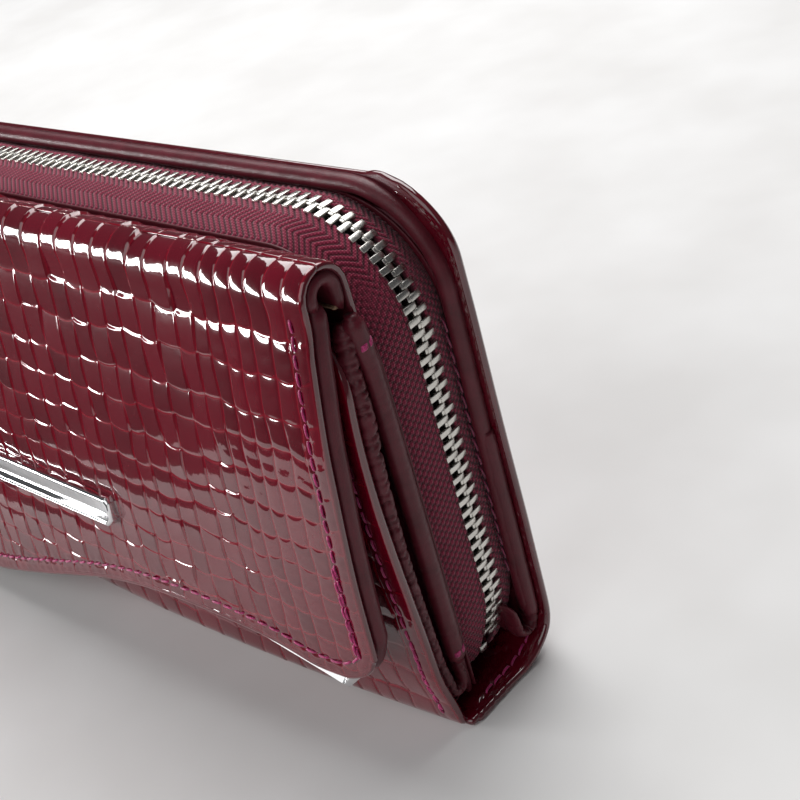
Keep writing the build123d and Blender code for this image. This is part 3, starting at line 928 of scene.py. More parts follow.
def fold_lining_piece():
    """Lining strip under the fold, with raw cut ends."""
    t = 2.5
    r = LINING_R - t / 2
    path = np.concatenate([
        [(FOLD_Y + r, FOLD_Z - 3.6), (FOLD_Y + r, FOLD_Z - 1.8)],
        arc_path(FOLD_Y, FOLD_Z, r, 0, 180, 30),
        [(FOLD_Y - r, FOLD_Z - 0.9)],
    ])
    crinkle = wander(5, 0.10, 23.0, 9.0)
    xs = np.linspace(-FLAP_HALF + 0.5, FLAP_HALF - 0.5, 180)
    angle = np.arctan2(path[:, 1] - FOLD_Z, path[:, 0] - FOLD_Y)
    P = merged(xs[None, :], path[:, :1], path[:, 1:])
    N = np.broadcast_to(merged(0, np.cos(angle), np.sin(angle))[:, None], P.shape)
    P = P + N * (t / 2 + crinkle(xs[None, :], path[:, 1:])[..., None])
    uv = merged(xs[None, :], np.linspace(0, 17, len(path))[:, None])
    bulge = (0.3, 1, 0.3, 1)
    obj = slab("flap_fold_lining_leather", P, t, (LINING, LINING), N=N, uv=uv, bulge=bulge, step=3)
    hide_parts("flap_fold_lining")
    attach(obj, "flap_fold")
    # Tan fibres on the cut ends
    ends = []
    cols = 5
    across = np.linspace(-t * 0.46, t * 0.46, cols)
    for foot in (0, -1):
        y, z = path[foot]
        rand = np.random.default_rng(40 + foot)
        for sign in (1, -1):
            points, faces = [], []
            xs_end = sign * (FLAP_HALF - np.linspace(0.75, 6.5, 14))
            for x in xs_end:
                for m, dy in enumerate(across):
                    drop = 0.18 + 0.28 * rand.uniform() - 0.25 * (m in (0, cols - 1))
                    points.append((x, y + dy + rand.uniform(-0.06, 0.06), z - drop))
            top = [(x, y + dy, z + 0.3) for x in xs_end for dy in across]
            total = len(points)
            for n in range(len(xs_end) - 1):
                for m in range(cols - 1):
                    a = n * cols + m
                    faces.append([a, a + 1, a + cols + 1, a + cols])
                    faces.append([total + a, total + a + cols, total + a + cols + 1, total + a + 1])
                for m in (0, cols - 1):
                    a = n * cols + m
                    faces.append([a, a + cols, total + a + cols, total + a])
            for n in (0, len(xs_end) - 1):
                for m in range(cols - 1):
                    a = n * cols + m
                    faces.append([a, a + 1, total + a + 1, total + a])
            ends.append((np.array(points + top), faces))
    raw = joined("flap_fold_lining_cut_ends", ends, RAW)
    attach(raw, "flap_fold")


fold_lining_piece()


def flap_lining_piece():
    """Padded lining behind the flap, thinner where the cover presses on it."""
    inset = 0.35
    t = 3.3
    half = FLAP_HALF - inset
    xs = np.concatenate([[-half], np.linspace(-half + 0.6, half - 0.6, 150), [half]])
    top = FOLD_Z - 1.4
    rows = 70
    w = np.linspace(0, 1, rows)[:, None]
    low = flap_edge(np.clip(xs, -FLAP_HALF, FLAP_HALF)) + 1.1
    low = low + 2.2 * smooth((np.abs(xs) - (half - 3.4)) / 3.4) ** 2
    z = top + (low[None, :] - top) * w
    x = np.broadcast_to(xs[None, :], z.shape)
    s = FRONT + FOLD_Z - z
    ripple = wander(15, 0.12, 31.0, 17.0)
    front = flap_face(x, s, inset=SKIN + 0.30)
    N = normals_towards(front, (rows // 2, 50), 1)
    deepest = 1.75
    pressed = deepest * np.clip(1 - (x / 62) ** 2, 0, 1) * smooth((z - 42) / 14) * smooth((90.5 - z) / 2.5)
    P = front + N * (t - pressed + ripple(x, z) * 0.5)[..., None]
    return slab(
        "flap_lining_panel", P, t, (LINING, LINING), N=N, uv=merged(x, s),
        bulge=(0.5, 1, 1, 1), step=3, hollow=pressed[..., None],
    )


lining_panel = flap_lining_piece()
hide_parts("flap_lining", "flap_board")
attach(lining_panel, "flap")


def flap_stitches():
    """Seam that runs down both sides of the flap and along its waved edge."""
    reach = FLAP_HALF - STITCH_IN
    parts = []
    for sign, seed in ((1, 3), (-1, 4)):
        end = FRONT + FOLD_Z - float(flap_edge(np.array([reach]))[0]) - STITCH_IN - 0.3
        s = np.linspace(FRONT + 1.5, end, 200)
        path = flap_face(sign * reach + 0 * s, s)
        normal = unit(np.array([0.0, -1.0, 0.05]))
        parts += stitch_parts(path - normal * 0.13, normal, seed=seed)
        again = path[-60:] + np.array([-0.35 * sign, -0.12, 0.9])
        parts += stitch_parts(again - normal * 0.05, normal, pitch=2.7, seed=seed + 10)
    xs = np.linspace(-reach, reach, 500)
    z = flap_edge(xs) + STITCH_IN * np.sqrt(1 + np.gradient(flap_edge(xs), xs) ** 2)
    path = flap_face(xs, FRONT + FOLD_Z - z)
    normal = unit(np.array([0.0, -1.0, 0.08]))
    parts += stitch_parts(path - normal * 0.13, normal, seed=6)
    return joined("flap_stitches", parts, THREAD)


stitches = flap_stitches()
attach(stitches, "flap")


def trim_piece():
    """Bright strip behind the waved edge, with a mitred corner that shows at the right."""
    mitre_x = 79.6
    xs = np.linspace(-FLAP_HALF + 5, mitre_x, 150)
    z = CAD_EDGE(xs) - 3.0 * smooth((xs - 34) / 34) + 0.25
    corner = np.array([mitre_x + 4.4, CAD_EDGE(mitre_x) + 1.6])
    straight = merged(xs, z)
    path = np.concatenate([straight, [corner]])
    tangent = unit(np.gradient(path, axis=0))
    tangent[-2] = unit(straight[-1] - straight[-2]) * 0.5 + 0.5 * unit(corner - straight[-1])
    inward = merged(-tangent[:, 1], tangent[:, 0])
    inward[-2] = inward[-2] / np.linalg.norm(inward[-2]) * 1.25
    tall = 2.9
    section = [(0.75, 0.0), (0.0, 0.95), (0.95, 2.0), (1.0, tall), (1.5, tall), (1.5, 0.35)]
    rows = []
    for p, n in zip(path, inward):
        ring = []
        for depth, up in section:
            q = p + n * up
            y = flap_face(q[0], FRONT + FOLD_Z - q[1], inset=SKIN + 0.12)[1] + depth
            ring.append((q[0], y, q[1]))
        rows.append(ring)
    return sweep("flap_edge_trim_strip", np.array(rows)[:, 0], rows, BRIGHT)


trim = trim_piece()
shade(trim.data, False)
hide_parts("flap_edge_trim")
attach(trim, "flap")


def bevelled(obj, width, segments=3, angle=30):
    """Rounds the sharp edges of an object, for good."""
    modifier = obj.modifiers.new("round", "BEVEL")
    modifier.width = width * MM
    modifier.segments = segments
    modifier.limit_method = "ANGLE"
    modifier.angle_limit = radians(angle)
    modifier.harden_normals = False
    graph = bpy.context.evaluated_depsgraph_get()
    mesh = bpy.data.meshes.new_from_object(obj.evaluated_get(graph))
    obj.modifiers.clear()
    obj.data = mesh
    shade(mesh, True)
    return obj


def plate_piece():
    """Blank nameplate: a bar with a raised rim round a sunken face in two slopes."""
    low, high = box("nameplate")
    mid_x = (low[0] + high[0]) / 2
    slope = float(FLAP_ENDS.deriv()(40) - FLAP_BOW.deriv()(40))
    turn = Matrix.Rotation(-np.arctan(slope), 4, "X")
    y0 = float(flap_face(0.0, FRONT + FOLD_Z - PLATE_Z)[1]) + 0.15
    half_l, half_h, deep = (high[0] - low[0]) / 2, 3.25, 2.1
    rim, sunk, slant, cut, tip = 0.62, 0.42, 1.6, 0.9, 0.25
    inside = rim + 0.12

    def outline(inset):
        h, l = half_h - inset, half_l - inset
        lower = [(-l + tip, -h), (l - slant, -h), (l, -h + slant)]
        return lower + [(l, h - cut), (l - cut, h), (-l + cut, h), (-l, h - cut), (-l, -h + tip)]

    points, faces = [], []
    heights = [(0.0, 0.0), (0.0, deep - 0.5), (0.16, deep - 0.14), (0.42, deep)]
    heights += [(rim, deep), (inside, deep - sunk)]
    for inset, y in heights:
        points += [(x + mid_x, -y, z) for x, z in outline(inset)]
    n = len(outline(0))
    for level in range(len(heights) - 1):
        for j in range(n):
            k = (j + 1) % n
            a = level * n
            faces.append([a + j, a + k, a + n + k, a + n + j])
    faces.append(list(range(n))[::-1])
    # The sunken face is lowest along a line near its middle
    last = (len(heights) - 1) * n
    left_mid, right_mid = len(points), len(points) + 1
    split = -0.55
    valley_y = -(deep - sunk) + sunk
    inner = outline(inside)
    points += [(inner[0][0] + mid_x, valley_y, split), (inner[2][0] + mid_x, valley_y, split)]
    faces.append([last + 0, last + 1, last + 2, right_mid, left_mid, last + 7])
    faces.append([left_mid, right_mid, last + 3, last + 4, last + 5, last + 6])
    moved = [turn @ Vector(p) for p in points]
    points = np.array([(p.x, p.y + y0, p.z + PLATE_Z) for p in moved])
    index = [0] * (len(faces) - 2) + [0, 1]
    obj = mesh_from("nameplate_bar", points, faces, (BRIGHT, GREY_FACE), index=index)
    shade(obj.data, False)
    return bevelled(obj, 0.10, 2, 20)


plate = plate_piece()
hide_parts("nameplate")
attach(plate, "flap")


def lathe(name, profile, centre, material, turns=48):
    """Turned piece whose axis points forwards, from (radius, distance forwards) pairs."""
    angle = np.arange(turns) * 2 * pi / turns
    x, y, z = centre
    rows = []
    for r, d in profile:
        rows.append(merged(x + r * np.cos(angle), y - d, z + r * np.sin(angle)))
    return sweep(name, np.array(rows)[:, 0], rows, material)


def snap_pieces():
    """Snap that holds the flap: a socket on the cover and a stud behind the flap."""
    low, high = box("snap_socket")
    z = (low[2] + high[2]) / 2
    r = (high[0] - low[0]) / 2
    profile = [(0.6, 0.2), (r - 1.2, 0.0), (r, 0.35), (r - 0.1, 0.8), (r - 1.3, 1.35)]
    profile += [(4.6, 1.5), (3.9, 1.75), (3.3, 1.6), (3.1, 0.7), (0.5, 0.62)]
    socket = lathe("snap_socket_turned", profile, (0, high[1], z), BRIGHT)
    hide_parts("snap_socket")
    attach(socket, "front_section")
    profile = [(0.5, 0.68), (r - 1.0, 0.62), (r - 0.15, 0.42), (r, 0.2), (r - 0.6, 0.0), (3.0, -0.05)]
    profile += [(2.3, -0.15), (2.1, -0.45), (2.6, -0.7), (2.2, -0.88), (0.5, -0.9)]
    stud = lathe("snap_stud_turned", profile, (0, box("snap_stud")[0][1] + 0.62, z), BRIGHT)
    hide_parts("snap_stud")
    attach(stud, "flap")


snap_pieces()


# --- front cover, bill pocket and front wall ------------------------------------------------

COVER_HALF = box("front_cover_panel")[1][0]
COVER_LOW = 0.9
COVER_TOP = 87.0
COVER_THICK = 1.7


def cover_swell(z):
    """How far the cover's ends stand forwards, towards the flap."""
    return 2.3 * smooth(z / 16)


def cover_edge(z):
    """Half width of the cover, a little less towards its top."""
    corner = 14 - np.sqrt(np.maximum(14**2 - np.clip(z - 73.5, 0, 13.9) ** 2, 0))
    return COVER_HALF - 2.6 * smooth((z - 22) / 62) - corner


def cover_face(x, z, inset=0.0):
    """Point of the cover's outer face, moved inwards by inset; its foot curls in."""
    x, z = np.broadcast_arrays(np.asarray(x, float), np.asarray(z, float))
    zc = np.clip(z, 1.5, 84.0)
    bow = COVER_BOW(zc) * (1 - (x / REACH) ** 2)
    y = COVER_ENDS(zc) - bow + inset + 0.05 * (z - zc) - cover_swell(z) * (np.abs(x) / REACH) ** 4
    curl = 1.6 * (1 - np.sqrt(np.clip(1 - ((3.2 - z) / 3.2).clip(0, 1) ** 2, 0, 1)))
    return merged(x, y + curl, z)


def cover_piece():
    """Embossed front of the bill pocket, with finer scales near its right end."""
    fine_from = 60
    columns = breaks(-COVER_HALF, fine_from, 5.2, 7.0, 51)[:-1]
    columns = np.concatenate([columns, breaks(fine_from, COVER_HALF, 4.0, 5.4, 52)])
    rows = breaks(COVER_LOW, COVER_TOP, 6.0, 8.4, 53)
    grid = Scales(columns, rows, 54, across=COARSE, down=COARSE)
    x, z = grid.spread()
    height, valley, tone = grid.relief(x, tilt=0.14, dome=0.14, groove=0.10)
    half = cover_edge(z)
    x = x * half / COVER_HALF
    base = cover_face(x, z)
    N = normals_towards(base, (10, 100), 1, -1)
    side = half - np.abs(x)
    height = seam_relief(height, side, z, (0.22, 0.05), (0.08, 0.05))
    height = height * smooth(np.minimum(side, np.minimum(COVER_TOP - z, z - COVER_LOW)) / 0.9 + 0.1)
    P = base + N * (height[..., None] - 0.1)
    attrs = {"valley": valley * 0.8, "tone": tone}
    uv = merged(x, z)
    return slab("front_cover_leather", P, COVER_THICK, (PATENT, LINING), N=N, uv=uv, attrs=attrs)


cover = cover_piece()
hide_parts("front_cover_panel")
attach(cover, "front_section")


def cover_stitches():
    """Seam down both ends of the cover, sewn twice near the foot."""
    parts = []
    for sign in (1, -1):
        z = np.linspace(3.0, COVER_TOP - 3, 120)
        path = cover_face(sign * (cover_edge(z) - STITCH_IN), z)
        normal = np.array([0.0, -1.0, 0.0])
        parts += stitch_parts(path - normal * 0.12, normal, width=0.22, seed=61 + sign)
        again = path[:30] - normal * 0.02 + np.array([0.35 * sign, 0, 1.2])
        parts += stitch_parts(again, normal, pitch=2.6, seed=64 + sign)
    return joined("front_cover_stitches", parts, THREAD)


cover_seam = cover_stitches()
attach(cover_seam, "front_section")

WALL_Y = box("zip_front_wall")[0][1]
# Y of the rolled edge of the zipped section's front
ROLL_Y = -1.6


def wrinkled(seed, depth, pitch):
    """Slanting creases round a soft edge, as a share of its radius, for tube's wobble."""
    lean, close = wander(seed, 1.0, 7.3, 4.1), wander(seed + 1, 1.0, 5.7, 2.9)

    def value(length, angle):
        crease = np.sin(2 * pi * (length + 0.55 * np.cos(angle - 0.6)) / pitch + 2.2 * lean(length, angle))
        return -depth * np.clip(crease, 0, 1) ** 2 * (0.55 + 0.45 * close(length, angle))

    return value


def pocket_strip(name, sign):
    """Soft edge of the bill pocket's lining: down behind the cover, then round a U and up again."""
    zs = np.linspace(COVER_TOP - 1.2, 9.5, 150)
    high = smooth((zs - 68) / 14)
    radius = 1.55 + 0.40 * high
    outer = cover_face(sign * COVER_HALF, zs)[:, 1] + COVER_THICK
    y = outer + radius - 1.2 * high + 0.15
    x = COVER_HALF - 2.3 - 1.3 * high
    down = merged(x, y, zs)
    left, right = y[-1], ROLL_Y - 0.2
    middle, r = (left + right) / 2, (right - left) / 2
    turn = arc_path(middle, 8.2, r, 180, 360, 30)[1:]
    turn = np.column_stack([np.full(len(turn), x[-1]), turn])
    up = np.array([(x[-1], right, 9.4), (x[-1] - 0.3, right + 0.1, 11.0), (x[-1] - 0.8, right + 0.2, 12.6)])
    path = resample(np.concatenate([down, turn, up]), 0.30) * np.array([sign, 1, 1])
    along = np.linspace(0, 1, len(path))
    thick = np.interp(along, [0, 0.12, 0.86, 0.94, 1], [1.95, 1.55, 1.4, 0.95, 1.0])
    wide = np.interp(along, [0, 0.85, 1], [2.3, 2.1, 1.6])
    creases = wrinkled(81, 0.30, 1.9)
    return tube(name, path, wide, thick, (0, 1, 0), LINING, sides=26, ends=0.5, wobble=creases)


for side, sign in BOTH_ENDS:
    strip = pocket_strip("bill_pocket_edge_" + side, sign)
    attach(strip, "front_section")


def pocket_panels():
    """Front and back leaves of the bill pocket's lining, joined by its floor."""
    xs = np.linspace(-COVER_HALF + 3.0, COVER_HALF - 3.0, 110)
    zs = np.linspace(COVER_TOP - 3.0, 4.2, 60)
    X, Z = np.meshgrid(xs, zs)
    soft = wander(91, 0.10, 37.0, 19.0)
    front = cover_face(X, Z, COVER_THICK + 0.45)
    front[..., 1] += soft(X, Z)
    back = merged(X, WALL_Y - 0.35 - 0.12 - soft(Z, X) * 0.5, Z)
    floor = []
    for share in np.linspace(0, 1, 7)[1:-1]:
        row = front[-1] * (1 - share) + back[-1] * share
        row[:, 2] -= 0.9 * sin(pi * share)
        floor.append(row)
    P = np.concatenate([front, np.array(floor), back[::-1]])
    uv = merged(xs[None, :], np.arange(len(P))[:, None] * 1.4)
    N = normals_towards(P, (10, 50), 1)
    obj = slab("bill_pocket_lining_leather", P, 0.4, (LINING, LINING), N=N, uv=uv, step=2)
    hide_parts("bill_pocket_lining")
    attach(obj, "front_section")


pocket_panels()


def wall_piece():
    """Front wall of the zipped section: a padded leaf between two rolled edges."""
    xs = np.linspace(-COVER_HALF + 2.4, COVER_HALF - 2.4, 120)
    zs = np.linspace(4.0, TAIL_Z - 0.2, 60)
    X, Z = np.meshgrid(xs, zs)
    soft = wander(95, 0.08, 41.0, 23.0)
    P = merged(X, WALL_Y + 0.15 + soft(X, Z), Z)
    uv = merged(X, Z)
    N = same_normal((0, -1, 0), P)
    obj = slab("zip_front_wall_leather", P, 1.8, (LINING, LINING), N=N, uv=uv, step=3)
    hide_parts("zip_front_wall")
    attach(obj, "front_section")


wall_piece()


def rolled_front(name, sign):
    """Rolled edge of the zipped section's front, from the fold's foot down to the bar tack."""
    z = np.linspace(FOLD_Z - 5.4, 12.0, 220)
    y = ROLL_Y - 0.8 * smooth((z - 76) / 10)
    path = merged(sign * (COVER_HALF - 2.0), y, z)
    creases = wrinkled(101, 0.05, 2.3)
    return tube(name, path, 2.0, 1.85, (0, 1, 0), LINING, sides=26, ends=0.6, wobble=creases)


for side, sign in BOTH_ENDS:
    roll = rolled_front("zip_front_rolled_edge_" + side, sign)
    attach(roll, "front_section")


def tack_parts(centre, direction, normal, length, threads=3):
    """Bar tack: a few threads side by side over an edge."""
    parts = []
    direction, normal = unit(np.array(direction, float)), unit(np.array(normal, float))
    for n in range(threads):
        bend = np.linspace(-1, 1, 7)
        path = (
            np.array(centre, float)
            + np.outer(bend * length / 2, direction)
            + np.outer(-0.5 * bend**2, normal)
            + np.array([0, 0, 0.33 * (n - threads / 2)])
        )
        parts += stitch_parts(path, normal, pitch=length / 2.2, seed=200 + n, lift=0.05)
    return parts


def tacks():
    """Bar tacks near the top and the foot of the zipped section's front, at both ends."""
    parts = []
    x, reach = COVER_HALF - 0.02, 2.9
    for z, y in ((82.0, ROLL_Y - 0.5), (15.2, ROLL_Y)):
        parts += tack_parts((x, y, z), (0, 1, 0.15), (1, 0, 0), reach)
    return joined("bar_tacks", parts + mirrored(parts), THREAD)


bar_tacks = tacks()
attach(bar_tacks, "front_section")


# --- zip ------------------------------------------------------------------------------------

ZIP_SIDE = ZIP_TOP - ZIP_CORNER - ZIP_BOTTOM
ZIP_TURN = ZIP_CORNER * pi / 2
ZIP_RUN = 2 * (ZIP_HALF - ZIP_CORNER)
ZIP_LENGTH = 2 * ZIP_SIDE + 2 * ZIP_TURN + ZIP_RUN
SLIDER_Z = (box("zip_slider")[0][2] + box("zip_slider")[1][2]) / 2
TOOTH_HALF = 2.45
# Distance from the zip's end to its first tooth, and the coin zip's teeth as a share of these
FIRST_TOOTH = 1.1
COIN_ZIP_SCALE = 0.62


def zip_place(s):
    """Point on the tops of the teeth, tangent and outward direction at a distance along the zip."""
    s = np.asarray(s, float)
    a1 = np.clip((s - ZIP_SIDE) / ZIP_CORNER, 0, pi / 2)
    a2 = np.clip((s - ZIP_SIDE - ZIP_TURN - ZIP_RUN) / ZIP_CORNER, 0, pi / 2)
    a = a1 + a2
    N = merged(-np.cos(a), 0, np.sin(a))
    T = merged(np.sin(a), 0, np.cos(a))
    run = np.clip(s - ZIP_SIDE - ZIP_TURN, 0, ZIP_RUN)
    centre_x = -ZIP_HALF + ZIP_CORNER + run
    up = np.clip(s, 0, ZIP_SIDE)
    down = np.clip(s - ZIP_LENGTH + ZIP_SIDE, 0, None)
    below = np.clip(s, None, 0)
    z = ZIP_BOTTOM + ZIP_SIDE + ZIP_CORNER * N[..., 2] - (ZIP_SIDE - up) + below - down
    z = np.where(s > ZIP_SIDE, ZIP_TOP - ZIP_CORNER + ZIP_CORNER * N[..., 2] - down, z)
    x = centre_x + ZIP_CORNER * N[..., 0]
    return merged(x, ZIP_MID, z), T, N


def end_curl(P):
    """The closed end of the zip turns in and forwards where it is sewn down."""
    t = np.clip((21 - P[..., 2]) / 15, 0, 1.1) * (P[..., 0] > 0)
    moved = P.copy()
    moved[..., 1] -= 3.3 * t**2
    moved[..., 0] -= 2.7 * t**2
    return moved


def parted(s):
    """How far each row stands from the middle below the slider."""
    return 0.9 * smooth((SLIDER_Z - ZIP_BOTTOM - np.asarray(s)) / 24)


def tape_piece(name, side, y_out, node, body, spacing):
    """Woven tape beside the teeth; side is -1 at the front and 1 at the back."""
    course, band, twill_pitch, brick_pitch = 0.82, 2.45, 1.45, 1.5
    width = abs(y_out - ZIP_MID) - TOOTH_HALF + 0.6
    s = np.linspace(0, ZIP_LENGTH, int(ZIP_LENGTH / spacing))
    v = np.linspace(0, width, int(width / spacing) + 2)
    P0, _, N = zip_place(s)
    on_top = smooth((N[:, 2] - 0.1) / 0.8)[:, None]
    from_teeth = v[None, :]
    droop = 1.2 + 2.0 * on_top if side < 0 else 0.9 + 0.8 * on_top
    inset = 0.75 + droop * (from_teeth / width) ** 1.7
    # Herringbone twill on the top of the wallet and bricks of yarn down its ends
    zigzag = np.abs(((from_teeth / band + 0.15) % 2) - 1) * band
    twill = 0.5 + 0.5 * np.sin(2 * pi * (s[:, None] + 1.15 * zigzag) / twill_pitch)
    row = np.floor(from_teeth / course)
    brick = 0.5 + 0.5 * np.sin(2 * pi * (s[:, None] / brick_pitch + 0.5 * (row % 2)))
    brick = brick**0.7 * np.sin(pi * (from_teeth / course - row)) ** 0.6
    rib = twill**0.8 * on_top + brick * (1 - on_top)
    relief = (0.24 + 0.08 * on_top) * rib
    ripple = wander(131 + side, 0.10, 24.0, 13.0)
    y = side * (TOOTH_HALF - 0.6 + from_teeth + parted(s)[:, None])
    P = P0[:, None] - N[:, None] * (inset - relief - ripple(s[:, None], from_teeth))[..., None]
    P = P + y[..., None] * np.array([0, 1, 0])
    P = end_curl(P)
    uv = merged(s[:, None], from_teeth)
    flat_N = np.broadcast_to(N[:, None], P.shape)
    obj = slab(name, P, 0.7, (TAPE, TAPE), N=flat_N, uv=uv, attrs={"rib": rib}, step=6)
    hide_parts(node)
    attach(obj, body)


FRONT_FACE = box("zip_front_facing")
BACK_FACE = box("zip_back_facing")
tape_piece("zip_tape_front_woven", -1, FRONT_FACE[1][1], "zip_tape_front", "front_section", 0.21)
tape_piece("zip_tape_back_woven", 1, BACK_FACE[0][1] - 0.2, "zip_tape_back", "back_shell", 0.23)


def rounded_box(x, y, z, radius, segments=2):
    """Points and faces of a box with rounded edges, from three (low, high) pairs."""
    bm = bmesh.new()
    bmesh.ops.create_cube(bm, size=1)
    for v in bm.verts:
        v.co = Vector([low + (c + 0.5) * (high - low) for c, (low, high) in zip(v.co, (x, y, z))])
    bmesh.ops.bevel(bm, geom=bm.edges, offset=radius, segments=segments, profile=0.5, affect="EDGES")
    bm.verts.index_update()
    points = np.array([v.co for v in bm.verts])
    faces = [[v.index for v in f.verts] for f in bm.faces]
    bm.free()
    return points, faces


def set_in(points, origin, along, across, outward):
    """Points of a small part, moved from its own three directions to where it stands."""
    moved = origin + np.outer(points[:, 0], along) + np.outer(points[:, 1], across)
    return moved + np.outer(points[:, 2], outward)


def tooth_parts(side, k):
    """One tooth: a flat bar with a nib that reaches past the middle; x along the zip, z outwards."""
    bar, bar_faces = rounded_box((-0.58, 0.58), (-0.10, TOOTH_HALF), (-1.9, -0.05), 0.09)
    share = np.clip((bar[:, 1] + 0.10) / TOOTH_HALF, 0, 1)
    bar[:, 2] -= np.where(bar[:, 2] > -0.6, 0.10 * share**2, 0)
    nib, nib_faces = rounded_box((-0.50, 0.50), (-0.60, 0.15), (-1.6, -0.16), 0.10)
    nib[:, 2] -= np.where(nib[:, 2] > -0.6, 0.14 * np.clip(-nib[:, 1], 0, 1), 0)
    parts = []
    for points, faces in ((bar, bar_faces), (nib, nib_faces)):
        points = points * k
        points[:, 1] *= side
        parts.append((points, faces))
    return parts


def chain(name, places, side, node, body, k=1.0):
    """Row of teeth at (point, tangent, outward) places."""
    template = tooth_parts(side, k)
    r = np.random.default_rng(150 + side)
    parts = []
    for p, t, n in places:
        lean = r.uniform(-0.03, 0.03)
        for points, faces in template:
            local = points.copy()
            local[:, 0] += lean * local[:, 1]
            parts.append((set_in(local, p, t, (0, 1, 0), n), faces))
    obj = joined(name, parts, NICKEL)
    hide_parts(node)
    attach(obj, body)


def main_chain(name, side, start, node, body):
    """One row of the main zip's teeth, the first of them at this distance from its end."""
    count = int((ZIP_LENGTH - start - FIRST_TOOTH) / TOOTH_PITCH)
    s = start + np.arange(count) * TOOTH_PITCH
    P, T, N = zip_place(s)
    P[:, 1] += side * parted(s)
    ahead = end_curl(P + T * 0.5)
    P = end_curl(P)
    T = unit(ahead - P)
    N = unit(N - T * np.sum(N * T, axis=1, keepdims=True))
    chain(name, list(zip(P, T, N)), side, node, body)


main_chain("zip_chain_front", -1, FIRST_TOOTH, "zip_teeth_front", "front_section")
main_chain("zip_chain_back", 1, FIRST_TOOTH + TOOTH_PITCH / 2, "zip_teeth_back", "back_shell")


def stop_piece():
    """Stops pressed on the front tape at both ends of the zip."""
    parts = []
    points, faces = rounded_box((-0.8, 0.8), (-2.2, -0.1), (-2.0, -0.1), 0.3)
    for s in (-0.9, ZIP_LENGTH - 1.3):
        P, T, N = zip_place(np.array([s]))
        parts.append((set_in(points, end_curl(P)[0], T[0], (0, 1, 0), N[0]), faces))
    obj = joined("zip_end_stops_pressed", parts, NICKEL)
    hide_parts("zip_end_stops")
    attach(obj, "front_section")


stop_piece()


# --- back cover and spine -------------------------------------------------------------------

BACK_TREE = tree("back_panel")
# Last point of the section's flat part, under the spine
FLAT_LAST = 7


def back_y(z):
    """Outer face of the back cover, felt from behind."""
    hits = []
    for height in np.atleast_1d(z):
        hit = BACK_TREE.ray_cast(Vector((0, 100, min(height, BACK_TOP - 0.2))) * MM, Vector((0, -1, 0)))[0]
        hits.append(hit.y / MM)
    return np.array(hits)


def shell_line():
    """Section of the outer leather: under the spine, round the rear corner and up the back."""
    flat_y, bend_z = 9.0, 13.0
    flat = [(y, 0.0) for y in np.linspace(0, flat_y, FLAT_LAST + 1)]
    levels = np.linspace(bend_z, BACK_TOP, 40)
    fit = np.poly1d(np.polyfit(levels, back_y(levels), 3))
    rise = np.linspace(0, 1, 24)[1:-1]
    foot, top = np.array([flat_y, 0.0]), np.array([fit(bend_z), bend_z])
    lead_in, lead_out = np.array([15.0, 0.0]), np.array([0.0, 13.0])
    # Cubic that leaves the foot flat and meets the back upright
    h = [2 * rise**3 - 3 * rise**2 + 1, rise**3 - 2 * rise**2 + rise]
    h += [-2 * rise**3 + 3 * rise**2, rise**3 - rise**2]
    bend = np.outer(h[0], foot) + np.outer(h[1], lead_in)
    bend = bend + np.outer(h[2], top) + np.outer(h[3], lead_out * 1.6)
    back = merged(fit(levels), levels)
    line = np.concatenate([flat, bend, back])
    return line, run(line), fit


SHELL, SHELL_S, BACK_FIT = shell_line()
SHELL_END = SHELL_S[-1]


def shell_face(x, s):
    """Point of the outer leather; s runs from the front of the spine to the top of the back."""
    x, s = np.broadcast_arrays(np.asarray(x, float), np.asarray(s, float))
    y = np.interp(s, SHELL_S, SHELL[:, 0])
    z = np.interp(s, SHELL_S, SHELL[:, 1])
    front = cover_face(x, COVER_LOW)[..., 1] + 1.4
    flat_end = SHELL_S[FLAT_LAST]
    share = np.clip(1 - s / flat_end, 0, 1)
    y = np.where(s < flat_end, front * share + SHELL[FLAT_LAST, 0] * (1 - share), y)
    pull = smooth((np.abs(x) - 80) / 12)
    y = y * (1 - pull) + pull * soft_min(y, 20.5, 4.0)
    return merged(x, y, z)


